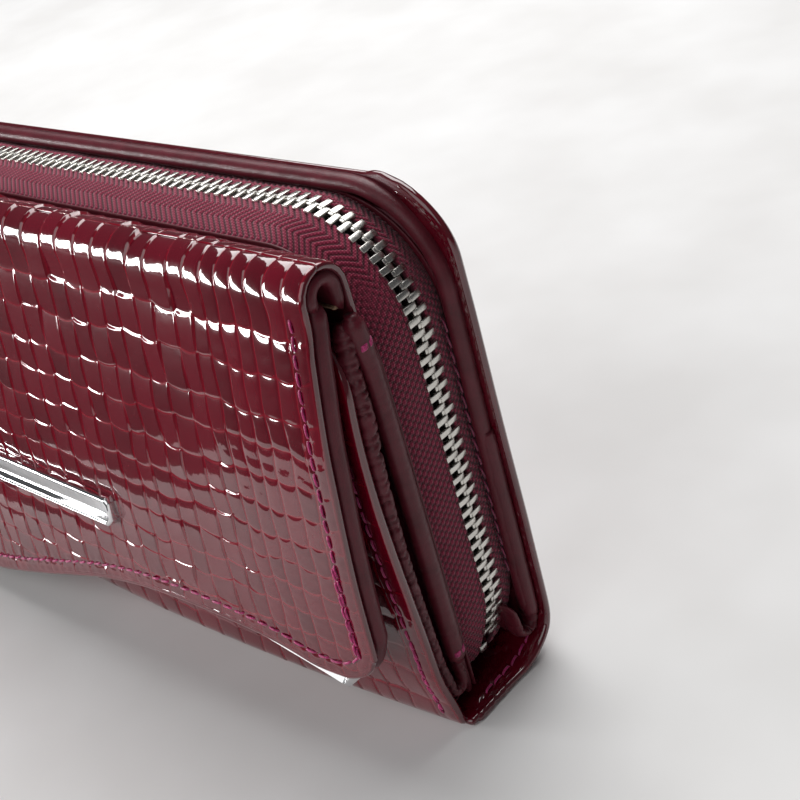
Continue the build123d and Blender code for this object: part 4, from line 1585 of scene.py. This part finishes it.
def shell_piece():
    """Embossed leather of the spine and the back in one piece, drawn in along its seam."""
    columns = breaks(-BACK_HALF, BACK_HALF, 5.0, 7.0, 161)
    rows = breaks(0, SHELL_END, 6.0, 8.2, 162)
    grid = Scales(columns, rows, 163, across=COARSE, down=COARSE)
    x, s = grid.spread()
    height, valley, tone = grid.relief(x, tilt=0.17, dome=0.17, groove=0.13)
    z = np.interp(s, SHELL_S, SHELL[:, 1])
    up = np.clip(z - (BACK_TOP - BACK_CORNER), 0, BACK_CORNER)
    corner = BACK_CORNER - np.sqrt(np.maximum(BACK_CORNER**2 - up**2, 0))
    half = np.where(s < 16, BACK_HALF - 1.0 + smooth(s / 16), BACK_HALF) - corner
    inner = 68.0
    reach = np.abs(x)
    drawn = inner + (reach - inner) * (half - inner) / (BACK_HALF - inner)
    x = np.sign(x) * np.where(reach > inner, drawn, reach)
    base = shell_face(x, s)
    N = normals_towards(base, (-20, 100), 1)
    far = 99
    side = np.minimum(half - np.abs(x), (SHELL_END - s) * np.where(s > 60, 1, far))
    side = np.minimum(side, far)
    arc = np.where(half - np.abs(x) < (SHELL_END - s), s, x)
    height = seam_relief(height, side, arc, (0.20, 0.05), (0.07, 0.04))
    height = height * smooth(np.minimum(side, s) / 0.9 + 0.1) * (0.45 + 0.55 * smooth((s - 22) / 12))
    sag = wander(167, 0.22, 71.0, 39.0)(x, s) * smooth((s - 35) / 20) * smooth((SHELL_END - s) / 12)
    P = base + N * (height - 0.25 - np.abs(sag) + 0.1)[..., None]
    P[..., 2] = np.maximum(P[..., 2], 0.02)
    attrs = {"valley": valley * 0.8, "tone": tone}
    uv = merged(x, s)
    obj = slab("back_and_spine_leather", P, 1.5, (PATENT, LINING), N=N, uv=uv, attrs=attrs)
    # Near both ends its inner side is patent leather too
    for polygon in obj.data.polygons:
        if polygon.material_index == 1 and abs(polygon.center.x) > (BACK_HALF - 9) * MM:
            polygon.material_index = 0
    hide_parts("spine_panel", "back_panel", "spine_board", "back_board")
    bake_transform(obj)


shell_piece()


def back_seam():
    """Seam round the sides and the top of the back."""
    first_s, lowest_z = 12, 12
    s = np.linspace(first_s, SHELL_END - BACK_CORNER, 160)
    side = shell_face(BACK_HALF - STITCH_IN + 0 * s, s)
    angle = np.linspace(0, pi / 2, 30)
    r = BACK_CORNER - STITCH_IN
    xs = BACK_HALF - BACK_CORNER + r * np.cos(angle)
    zs = BACK_TOP - BACK_CORNER + r * np.sin(angle)
    right = np.concatenate([side, merged(xs, BACK_FIT(zs), zs)])
    line = np.concatenate([right, right[::-1] * np.array([-1, 1, 1])])
    tilt = unit(np.array([0.0, 1.0, 0.02]))
    keep = line[:, 2] > lowest_z
    parts = stitch_parts(line[keep] + tilt * -0.30, tilt, seed=171)
    seam = joined("back_stitches", parts, THREAD)
    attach(seam, "back_shell")


back_seam()


def turned_edge():
    """Rounded edge where the patent leather turns over the spine and the back, and what shows inside it."""
    bumps = wander(187, 1.0, 3.1, 1.7, 6.3)
    edge_in, thick = 0.85, 0.98
    for side, sign in BOTH_ENDS:
        low = np.linspace(0.6, SHELL_END - BACK_CORNER, 220)
        turn = np.linspace(0, pi / 2, 40)[1:]
        r = BACK_CORNER - edge_in
        over = np.linspace(BACK_HALF - BACK_CORNER, 0, 80)[1:]
        x_turn = BACK_HALF - BACK_CORNER + r * np.cos(turn)
        x = np.concatenate([BACK_HALF - edge_in + 0 * low, x_turn, over])
        s_turn = SHELL_END - BACK_CORNER + (r - 0.65) * np.sin(turn)
        s = np.concatenate([low, s_turn, SHELL_END - 1.5 + 0 * over])
        face = np.stack([shell_face(sign * (x + step), s) for step in (-0.1, 0, 0.1)], 1)
        inwards = normals_towards(face, (40, 1), 2)[:, 1]
        path = resample(face[:, 1] + inwards * 0.72, 0.35)
        edge = tube(
            "spine_turned_edge_" + side, path, thick, thick, (1, 0, 0), PATENT, sides=16, ends=0.5,
            wobble=lambda a, b: 0.10 * bumps(a, 2 * b),
        )
        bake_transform(edge)
        # Crushed patent leather inside the spine
        s = np.linspace(1.5, 21.0, 110)
        x = np.linspace(BACK_HALF - 13, BACK_HALF - 1.6, 60)
        X, S = np.meshgrid(x, s)
        face = shell_face(sign * X, S)
        up = normals_towards(face, (40, 30), 2)
        crush = wander(189, 0.45, 4.3, 2.1, 7.9)(X, S) * wander(190, 1.0, 9.0, 5.1)(S, X)
        face = face + up * (1.70 + 0.8 * crush)[..., None]
        flat = merged(X, S)
        pad = slab("spine_inner_patent_" + side, face, 0.3, (PATENT, PATENT), N=up, uv=flat, step=2)
        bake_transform(pad)


turned_edge()


def inner_seam():
    """Thread that shows inside the spine at both ends."""
    s = np.linspace(4.0, 17.0, 40)
    path = shell_face(BACK_HALF - 2.6 + 0 * s, s)
    path[:, 2] += 2.1
    parts = stitch_parts(path, np.array([0.0, -0.1, 1.0]), pitch=2.8, seed=175)
    obj = joined("spine_stitches", parts + mirrored(parts), THREAD)
    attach(obj, "front_section")


inner_seam()


# Y of the back lining's rolled edge
ROLL_BACK = 17.35


def back_roll():
    """Rolled edge of the back lining round three sides, with a fold at each foot."""
    half, top, r = BACK_HALF - 2.6, BACK_TOP - 0.95, 17.5
    z = np.linspace(10.0, top - r, 90)
    right = merged(half, z)
    angle = np.linspace(0, pi / 2, 50)[1:]
    turn = merged(half - r + r * np.cos(angle), top - r + r * np.sin(angle))
    xs = np.linspace(half - r, 0, 90)[1:]
    over = merged(xs, top)
    quarter = np.concatenate([right, turn, over])
    path = np.concatenate([quarter, quarter[::-1][1:] * np.array([-1, 1])])
    path = resample(merged(path[:, 0], ROLL_BACK, path[:, 1]), 1.2)
    lean = np.clip((path[:, 2] - 60) / 40, 0, 1)
    path[:, 1] += 0.6 * lean
    ripple = wander(181, 0.03, 11.0, 5.3, 2.7)
    obj = tube(
        "back_rolled_edge", path, 1.55, 1.7, (0, 1, 0), LINING, sides=20, ends=0.8,
        wobble=lambda a, b: ripple(a, b * 2),
    )
    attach(obj, "back_shell")
    # Overlap where two lengths of the edge meet, low on each end, and the fold and hem below it
    for side, sign, fold_in in (("right", 1, 0.6), ("left", -1, 1.6)):
        z = np.linspace(52.0, 9.0, 60)
        over = merged(sign * (half + 0.28), ROLL_BACK + 0.15, z)
        low = tube("back_rolled_overlap_" + side, over, 1.75, 1.62, (0, 1, 0), LINING, sides=20, ends=0.9)
        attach(low, "back_shell")
        z = np.linspace(13.5, 8.2, 20)
        fall = merged(ROLL_BACK + 0.35, z)
        hook = arc_path(ROLL_BACK - 1.9, 8.2, 2.25, 0, -180, 34)[1:]
        rise = np.array([(ROLL_BACK - 4.2, 9.6), (ROLL_BACK - 4.6, 12.0), (ROLL_BACK - 5.3, 14.5)])
        line = np.concatenate([fall, hook, rise])
        path = resample(np.column_stack([np.full(len(line), sign * (half - fold_in)), line]), 0.3)
        along = np.linspace(0, 1, len(path))
        thick = np.interp(along, [0, 0.3, 0.6, 1], [1.3, 1.05, 1.0, 0.6])
        u = tube(
            "back_lining_fold_" + side, path, 2.1, thick, (0, 1, 0), LINING, sides=24, ends=0.4,
            wobble=wrinkled(183, 0.12, 2.2),
        )
        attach(u, "back_shell")
        inner = ribbon("back_lining_hem_" + side, path[:, 1:], sign * 76, sign * (half - 1.0), 1.1, LINING)
        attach(inner, "back_shell")


back_roll()


def back_roll_stitches():
    """Seam along the tape, in the gap beside the rolled edge, in a darker thread that has the gap's shade
    painted in.
    """
    z = np.linspace(20, 76, 120)
    path = merged(BACK_HALF - 3.4, ROLL_BACK - 1.75, z)
    parts = stitch_parts(path, np.array([0.9, -0.45, 0.0]), pitch=3.2, width=0.2, seed=185)
    obj = joined("back_edge_stitches", parts + mirrored(parts), PAINTED_SHADE_THREAD)
    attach(obj, "back_shell")


back_roll_stitches()


# --- panels inside --------------------------------------------------------------------------


def facing_piece(node, body, facing, below_top):
    """Lining of the zipped section, with two round upper corners.

    facing is 1 for a piece that looks towards the back and -1 for one that looks forwards.
    """
    low, high = box(node)
    half, top, corner = high[0] - 0.3, high[2] - below_top, ZIP_CORNER - 2
    y = high[1] if facing > 0 else low[1]
    round_z = top - corner + corner * np.sin(np.linspace(0, pi / 2, 22))
    zs = np.concatenate([np.linspace(low[2], top - corner, 30)[:-1], round_z])
    up = np.clip(zs - (top - corner), 0, corner)
    width = half - corner + np.sqrt(np.maximum(corner**2 - up**2, 0))
    share = np.sin(np.linspace(-1, 1, 90) * pi / 2)
    share = 0.35 * share + 0.65 * np.linspace(-1, 1, 90)
    X = width[:, None] * share[None, :]
    Z = zs[:, None]
    soft = wander(int(abs(y) * 10) + 7, 0.06, 43.0, 21.0)
    P = merged(X, y + facing * (soft(X, Z) - 0.06), Z)
    N = same_normal((0, facing, 0), P)
    thick = high[1] - low[1] - 0.1
    obj = slab(node + "_leather", P, thick, (LINING, LINING), N=N, uv=merged(X, Z), step=2)
    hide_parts(node)
    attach(obj, body)


facing_piece("zip_front_facing", "front_section", 1, 2.6)
facing_piece("zip_back_facing", "back_shell", -1, 1.6)


def padding_piece():
    """Thin foam between the back cover's leather and its lining."""
    low, high = box("back_padding")
    corner_z, rise, corner = high[2] - 16, 14, 15.2
    round_z = corner_z + rise * np.sin(np.linspace(0, pi / 2, 20))
    zs = np.concatenate([np.linspace(low[2], corner_z, 30)[:-1], round_z])
    up = np.clip(zs - corner_z, 0, rise)
    width = high[0] - 15.5 + np.sqrt(np.maximum(corner**2 - (up * corner / rise) ** 2, 0))
    X = width[:, None] * np.linspace(-1, 1, 80)[None, :]
    Z = zs[:, None]
    rear = BACK_FIT(Z) - 2.1
    front = BACK_FACE[1][1] + 0.1
    deep = np.maximum(rear - front, 0.25)
    P = merged(X, front + deep, Z)
    # Normals as long as the foam is deep, for a slab that is 1 thick
    N = np.broadcast_to(merged(0, deep, 0), P.shape)
    obj = slab("back_padding_foam", P, 1.0, (PADDING, PADDING), N=N, uv=merged(X, Z), step=2)
    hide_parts("back_padding")
    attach(obj, "back_shell")


padding_piece()


def card_leaves(name, node, body, facing, first_y, step_y, count):
    """Stepped card slots in two columns, with a folded upper edge on each leaf."""
    low, high = box(node)
    gap = 6.0
    wide = (high[0] - low[0] - gap) / 2
    drop = 11.0
    for i in range(count):
        for column, x0 in (("left", low[0]), ("right", high[0] - wide)):
            xs = np.linspace(x0, x0 + wide, 50)
            top = high[2] - drop * i
            zs = np.concatenate([np.linspace(low[2], top - 2, 24), np.linspace(top - 1.6, top, 6)])
            X, Z = np.meshgrid(xs, zs)
            dip = 1.3 * np.sin(pi * (X - x0) / wide) ** 6
            Z = Z - dip * smooth((Z - top + 14) / 14)
            lip = 0.07 * bell(Z - (top - dip) + 0.5, 0.6)
            Y = first_y + step_y * i + facing * lip
            P = merged(X, Y, Z)
            N, uv = same_normal((0, facing, 0), P), merged(X, Z)
            leaf = slab(f"{name}_{column}_{i + 1}", P, 0.17, (LINING, LINING), N=N, uv=uv, step=2)
            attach(leaf, body)
            if i == 0 and column == "left":
                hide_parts(node)


low, high = box("card_slots_front")
card_leaves("card_slot_front", "card_slots_front", "front_section", 1, low[1] + 0.2, 0.22, 3)
low, high = box("card_slots_back")
card_leaves("card_slot_back", "card_slots_back", "back_shell", -1, high[1] - 0.2, -0.22, 4)


def gusset_pieces():
    """Accordion leaf at each end of the zipped section, folded inwards."""
    low, high = box("gusset_front")
    x_out = high[0]
    y0, y1 = low[1] + 0.25, box("gusset_back")[1][1] - 0.25
    folds = 4
    count = 12 * folds + 1
    t = np.linspace(0, folds, count)
    depth = 2.3
    bend = 1 - np.abs((t % 1) * 2 - 1)
    zs = np.linspace(low[2] + 0.5, high[2], 50)
    for side, sign in BOTH_ENDS:
        Y = y0 + (y1 - y0) * (t / folds + 0.035 * np.sin(2 * pi * t))
        X = sign * (x_out - 0.3 - depth * smooth(bend)[None, :] * (0.75 + 0.25 * np.cos(zs / 22)[:, None]))
        P = merged(X, Y[None, :], zs[:, None])
        length = run(P[25])
        uv = merged(length[None, :], zs[:, None])
        bulge = (0.5, 0.5, 0.5, 0.5)
        obj = slab("gusset_accordion_" + side, P, 0.35, (LINING, LINING), uv=uv, step=2, bulge=bulge)
        if sign > 0:
            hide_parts("gusset_front", "gusset_back")
        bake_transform(obj)


gusset_pieces()


# --- coin pocket ----------------------------------------------------------------------------


def coin_pocket():
    """Cloth bag folded round a U, and the tucked panels at both its ends."""
    low, high = box("coin_pocket")
    middle = (low[1] + high[1]) / 2
    half_y = (high[1] - low[1]) / 2 - 0.05
    r = 2.4
    zs = np.linspace(high[2] - 0.1, low[2] + r, 50)
    front = merged(middle - half_y, zs)
    corner_a = arc_path(middle - half_y + r, low[2] + r, r, 180, 270, 8)[1:]
    corner_b = arc_path(middle + half_y - r, low[2] + r, r, 270, 360, 8)[1:]
    back = merged(middle + half_y, zs[::-1])[1:]
    line = np.concatenate([front, corner_a, corner_b, back])
    xs = np.linspace(low[0] + 0.9, high[0] - 0.9, 100)
    P = merged(xs[None, :], line[:, :1], line[:, 1:])
    N = normals_towards(P, (10, 50), 1, -1)
    soft = wander(191, 0.12, 33.0, 19.0)
    P = P - N * (0.12 + soft(P[..., 0], P[..., 2]))[..., None]
    length = run(line)
    uv = merged(xs[None, :], length[:, None])
    bag = slab("coin_pocket_cloth", P, 0.7, (CLOTH, CLOTH), N=N, uv=uv, step=3)
    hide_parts("coin_pocket")
    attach(bag, "coin_divider")
    for side, sign in BOTH_ENDS:
        ys = np.linspace(middle - half_y + 0.35, middle + half_y - 0.35, 14)
        zz = np.linspace(low[2] + 1.2, high[2] - 0.2, 40)
        Y, Z = np.meshgrid(ys, zz)
        tuck = 0.8 * (1 - ((Y - middle) / half_y) ** 2)
        P = merged(sign * (high[0] - 0.15 - tuck), Y, Z)
        N = same_normal((sign, 0, 0), P)
        end = slab("coin_pocket_end_" + side, P, 0.5, (CLOTH, CLOTH), N=N, uv=merged(Y, Z), step=2)
        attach(end, "coin_divider")


coin_pocket()


def coin_zip():
    """Tapes and teeth of the coin pocket's zip."""
    low, high = box("coin_zip_tape")
    middle = (low[1] + high[1]) / 2
    xs = np.linspace(low[0] + 0.4, high[0] - 0.4, 420)
    v = np.linspace(1.15, (high[1] - low[1]) / 2 - 0.05, 10)
    for n, side in (("front", -1), ("back", 1)):
        X, V = np.meshgrid(xs, v)
        rib = 0.5 + 0.5 * np.sin(2 * pi * (X + V) / 0.9)
        Z = high[2] - 0.05 + 0.05 * rib - 0.3 * ((V - v[0]) / 2) ** 2
        P = merged(X, middle + side * V, Z)
        N, uv = same_normal((0, 0, 1), P), merged(X, V)
        strip = slab("coin_zip_tape_" + n, P, 0.5, (TAPE, TAPE), N=N, uv=uv, attrs={"rib": rib}, step=3)
        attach(strip, "coin_divider")
        if side < 0:
            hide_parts("coin_zip_tape")
    low, high = box("coin_zip_teeth")
    top = high[2] + 0.05
    for n, side, shift in (("front", -1, 0.0), ("back", 1, TOOTH_PITCH / 2)):
        x = np.arange(low[0] + 0.55 + shift, high[0], TOOTH_PITCH)
        places = [(np.array([a, middle, top]), (1, 0, 0), (0, 0, 1)) for a in x]
        chain("coin_zip_chain_" + n, places, side, "coin_zip_teeth", "coin_divider", k=COIN_ZIP_SCALE)


coin_zip()


# --- sliders and pulls ----------------------------------------------------------------------


def extruded(outline, z0, z1, hole=None):
    """Points and faces of a plate from its outline, with an optional hole of the same corner count."""
    n = len(outline)
    rings = [(outline, z0), (outline, z1)]
    if hole is not None:
        rings += [(hole, z1), (hole, z0)]
    points = np.concatenate([np.column_stack([ring, np.full(n, z)]) for ring, z in rings])
    faces = []
    count = len(rings)
    for level in range(count if hole is not None else count - 1):
        a, b = level * n, ((level + 1) % count) * n
        for j in range(n):
            k = (j + 1) % n
            faces.append([a + j, a + k, b + k, b + j])
    if hole is None:
        faces += [list(range(n))[::-1], list(range(n, 2 * n))]
    return points, faces


def oval(cx, rx, ry, count=48, power=2.0):
    """Outline of an oval about (cx, 0), squarer with a higher power."""
    a = np.linspace(0, 2 * pi, count, endpoint=False)
    c, s = np.cos(a), np.sin(a)
    x = cx + rx * np.sign(c) * np.abs(c) ** (2 / power)
    return merged(x, ry * np.sign(s) * np.abs(s) ** (2 / power))


def slider_set(prefix, k, seat, along, outward, length, inner_half, nodes, bodies):
    """Slider with shaped plates and a bail, and a pull with a hole at its end.

    k scales a number 5 slider, and inner_half limits the half width of its lower plate. nodes and bodies
    are those of the slider and of its pull.
    """
    across = np.cross(outward, along)

    def place(parts):
        return [(set_in(points, seat, along, across, outward), faces) for points, faces in parts]

    a = np.linspace(0, 2 * pi, 48, endpoint=False)
    c, s = np.cos(a), np.sin(a)
    half_long, half_wide = 4.2 * k, 4.3 * k
    body_x = half_long * np.sign(c) * np.abs(c) ** 0.75
    body_y = half_wide * np.sign(s) * np.abs(s) ** 0.6 * (1 - 0.28 * np.clip(-c, 0, 1))
    outer = merged(body_x, body_y)
    plate_in, plate_out = 1.35 * k, 2.25 * k
    parts = [extruded(outer, plate_in, plate_out)]
    squeeze = min(1.0, inner_half / half_wide)
    parts.append(extruded(outer * np.array([1, squeeze]), -plate_out, -plate_in))
    angle = np.linspace(0, pi, 14)
    bail_foot, bail_half = 2.2 * k, 0.85 * k
    bail_out = merged(2.7 * k * np.cos(angle), bail_foot + 2.1 * k * np.sin(angle))
    bail_in = merged(1.7 * k * np.cos(angle), bail_foot + 1.25 * k * np.sin(angle))
    ring = np.concatenate([bail_out, bail_in[::-1]])
    n = len(ring)
    points = np.concatenate([
        merged(ring[:, 0], -bail_half, ring[:, 1]),
        merged(ring[:, 0], bail_half, ring[:, 1]),
    ])
    faces = [[j, (j + 1) % n, n + (j + 1) % n, n + j] for j in range(n)]
    m = len(angle)
    for j in range(m - 1):
        faces.append([j, j + 1, n - 2 - j, n - 1 - j])
        faces.append([n + j, n + n - 1 - j, n + n - 2 - j, n + j + 1])
    parts.append((points, faces))
    shape = joined(prefix + "_body", place(parts), NICKEL)
    bevelled(shape, 0.28 * k, 3, 35)
    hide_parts(nodes[0])
    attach(shape, bodies[0])
    # Pull: a frame that turns in the bail, and a long tab with a slot
    tab_start, tab_half = 5.2 * k, 3.2 * k
    middle = (tab_start + length) / 2
    half = (length - tab_start) / 2
    outline = oval(-middle, half, tab_half, power=3.2)
    outline[:, 1] *= 0.80 + 0.20 * smooth((-outline[:, 0] - tab_start) / (length - tab_start))
    hole = oval(-length + 4.2 * k, 1.9 * k, 1.35 * k)
    pull_in, pull_out = 2.5 * k, 3.4 * k
    tab = extruded(outline, pull_in, pull_out, hole)
    frame_out = oval(-3.6 * k, 4.4 * k, 2.3 * k, power=3.0)
    frame_in = oval(-3.3 * k, 3.2 * k, 1.25 * k, power=3.0)
    eye = extruded(frame_out, pull_in, pull_out, frame_in)
    raised = oval(-middle - 0.4 * k, half * 0.55, 1.1 * k, 32, 3.0) + np.array([1.6 * k, 0])
    rib = extruded(raised, 3.35 * k, 3.6 * k)
    pull = joined(prefix + "_pull", place([tab, eye, rib]), NICKEL)
    bevelled(pull, 0.22 * k, 3, 35)
    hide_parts(nodes[1])
    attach(pull, bodies[1])


seat = np.array([-ZIP_HALF + 1.0, ZIP_MID, SLIDER_Z])
length = SLIDER_Z - box("zip_pull")[0][2] - 1.4
both = ("zip_slider", "zip_pull")
slider_set("zip_slider", 1.0, seat, (0, 0, 1), (-1, 0, 0), length, 4.4, both, both)
low, high = box("coin_zip_slider")
seat = np.array([(low[0] + high[0]) / 2, (low[1] + high[1]) / 2, box("coin_zip_teeth")[1][2] - 0.6])
length = seat[0] - box("coin_zip_pull")[0][0]
coin_nodes, coin_bodies = ("coin_zip_slider", "coin_zip_pull"), ("coin_slider", "coin_pull")
slider_set("coin_slider", 0.7, seat, (1, 0, 0), (0, 0, 1), length, 2.0, coin_nodes, coin_bodies)


# --- floor, light and camera ----------------------------------------------------------------


def floor_piece():
    """Plain pale floor."""
    look = Look("floor", Roughness=0.95, IOR=1.4, Specular_IOR_Level=0.05)
    clouds = look.ramp(look.noise(60.0, 3.0), (0.35, 0.0), (0.7, 1.0))
    tone = look.mix(clouds, (0.70, 0.69, 0.68), (0.78, 0.775, 0.77))
    look.done(tone, None, look.bump(look.noise(3.0, 4.0), 0.05, 0.3))
    half = 3000
    points = [(-half, -half, 0), (half, -half, 0), (half, half, 0), (-half, half, 0)]
    obj = mesh_from("floor", points, [[0, 1, 2, 3]], look.mat, flip_check=False)
    obj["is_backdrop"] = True


def dark_flag():
    """Studio flag: a dark card in front of the wallet that only its gloss can see."""
    look = Look("flag", Roughness=0.9, Specular_IOR_Level=0.05)
    cloudy = look.noise(90.0, 2.0)
    look.done(look.mix(cloudy, (0.050, 0.046, 0.046), (0.075, 0.069, 0.069)))
    near, far, reach, edge_x = 46.0, 1500.0, 3000.0, -92
    slant = 0.785 * (far - near)
    points = [(-reach, -near, 1), (-reach, -far, 1), (slant + edge_x, -far, 1), (edge_x, -near, 1)]
    obj = mesh_from("flag", points, [[0, 1, 2, 3]], look.mat, flip_check=False)
    obj.visible_camera = obj.visible_diffuse = obj.visible_shadow = False
    obj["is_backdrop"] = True


def area_light(name, centre, aim, size, power, roll=0.0):
    """Soft light that the camera doesn't see itself."""
    data = bpy.data.lights.new(name, "AREA")
    data.shape = "RECTANGLE"
    data.size, data.size_y = size[0] * MM, size[1] * MM
    data.energy = power
    obj = bpy.data.objects.new(name, data)
    obj.location = Vector(centre) * MM
    obj.rotation_mode = "QUATERNION"
    aimed = (Vector(aim) - Vector(centre)).to_track_quat("-Z", "Y")
    obj.rotation_quaternion = aimed @ Matrix.Rotation(radians(roll), 3, "Z").to_quaternion()
    obj.visible_camera = False
    bpy.context.scene.collection.objects.link(obj)


def camera():
    """Camera at the photograph's viewing angle."""
    azimuth, elevation, roll = radians(49.53), radians(31.53), radians(-16.09)
    back = Vector((sin(azimuth) * cos(elevation), -cos(azimuth) * cos(elevation), sin(elevation)))
    right = (-back).cross(Vector((0, 0, 1))).normalized()
    up = right.cross(-back)
    side = right * cos(roll) + up * sin(roll)
    top = up * cos(roll) - right * sin(roll)
    data = bpy.data.cameras.new("camera")
    data.lens, data.sensor_width = 62.94, 36.0
    data.clip_start, data.clip_end = 0.01, 20
    obj = bpy.data.objects.new("camera", data)
    place = Matrix((side, top, back)).transposed().to_4x4()
    place.translation = Vector((240.0, -125.0, 188.25)) * MM
    obj.matrix_world = place
    bpy.context.scene.collection.objects.link(obj)
    bpy.context.scene.camera = obj


floor_piece()
dark_flag()
area_light("window", (-790, -640, 130), (0, 0, 90), (640, 190), 9.5, roll=-32)
area_light("overhead", (-260, 420, 900), (0, 0, 40), (900, 900), 12.4)
area_light("fill", (120, -760, 620), (0, 0, 40), (1000, 900), 3.4)
camera()

world = bpy.data.worlds.new("studio")
world.use_nodes = True
world.node_tree.nodes["Background"].inputs[0].default_value = (0.82, 0.84, 0.88, 1)
world.node_tree.nodes["Background"].inputs[1].default_value = 0.10
bpy.context.scene.world = world
bpy.context.scene.view_settings.view_transform = "Standard"
bpy.context.scene.view_settings.look = "None"

low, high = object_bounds()
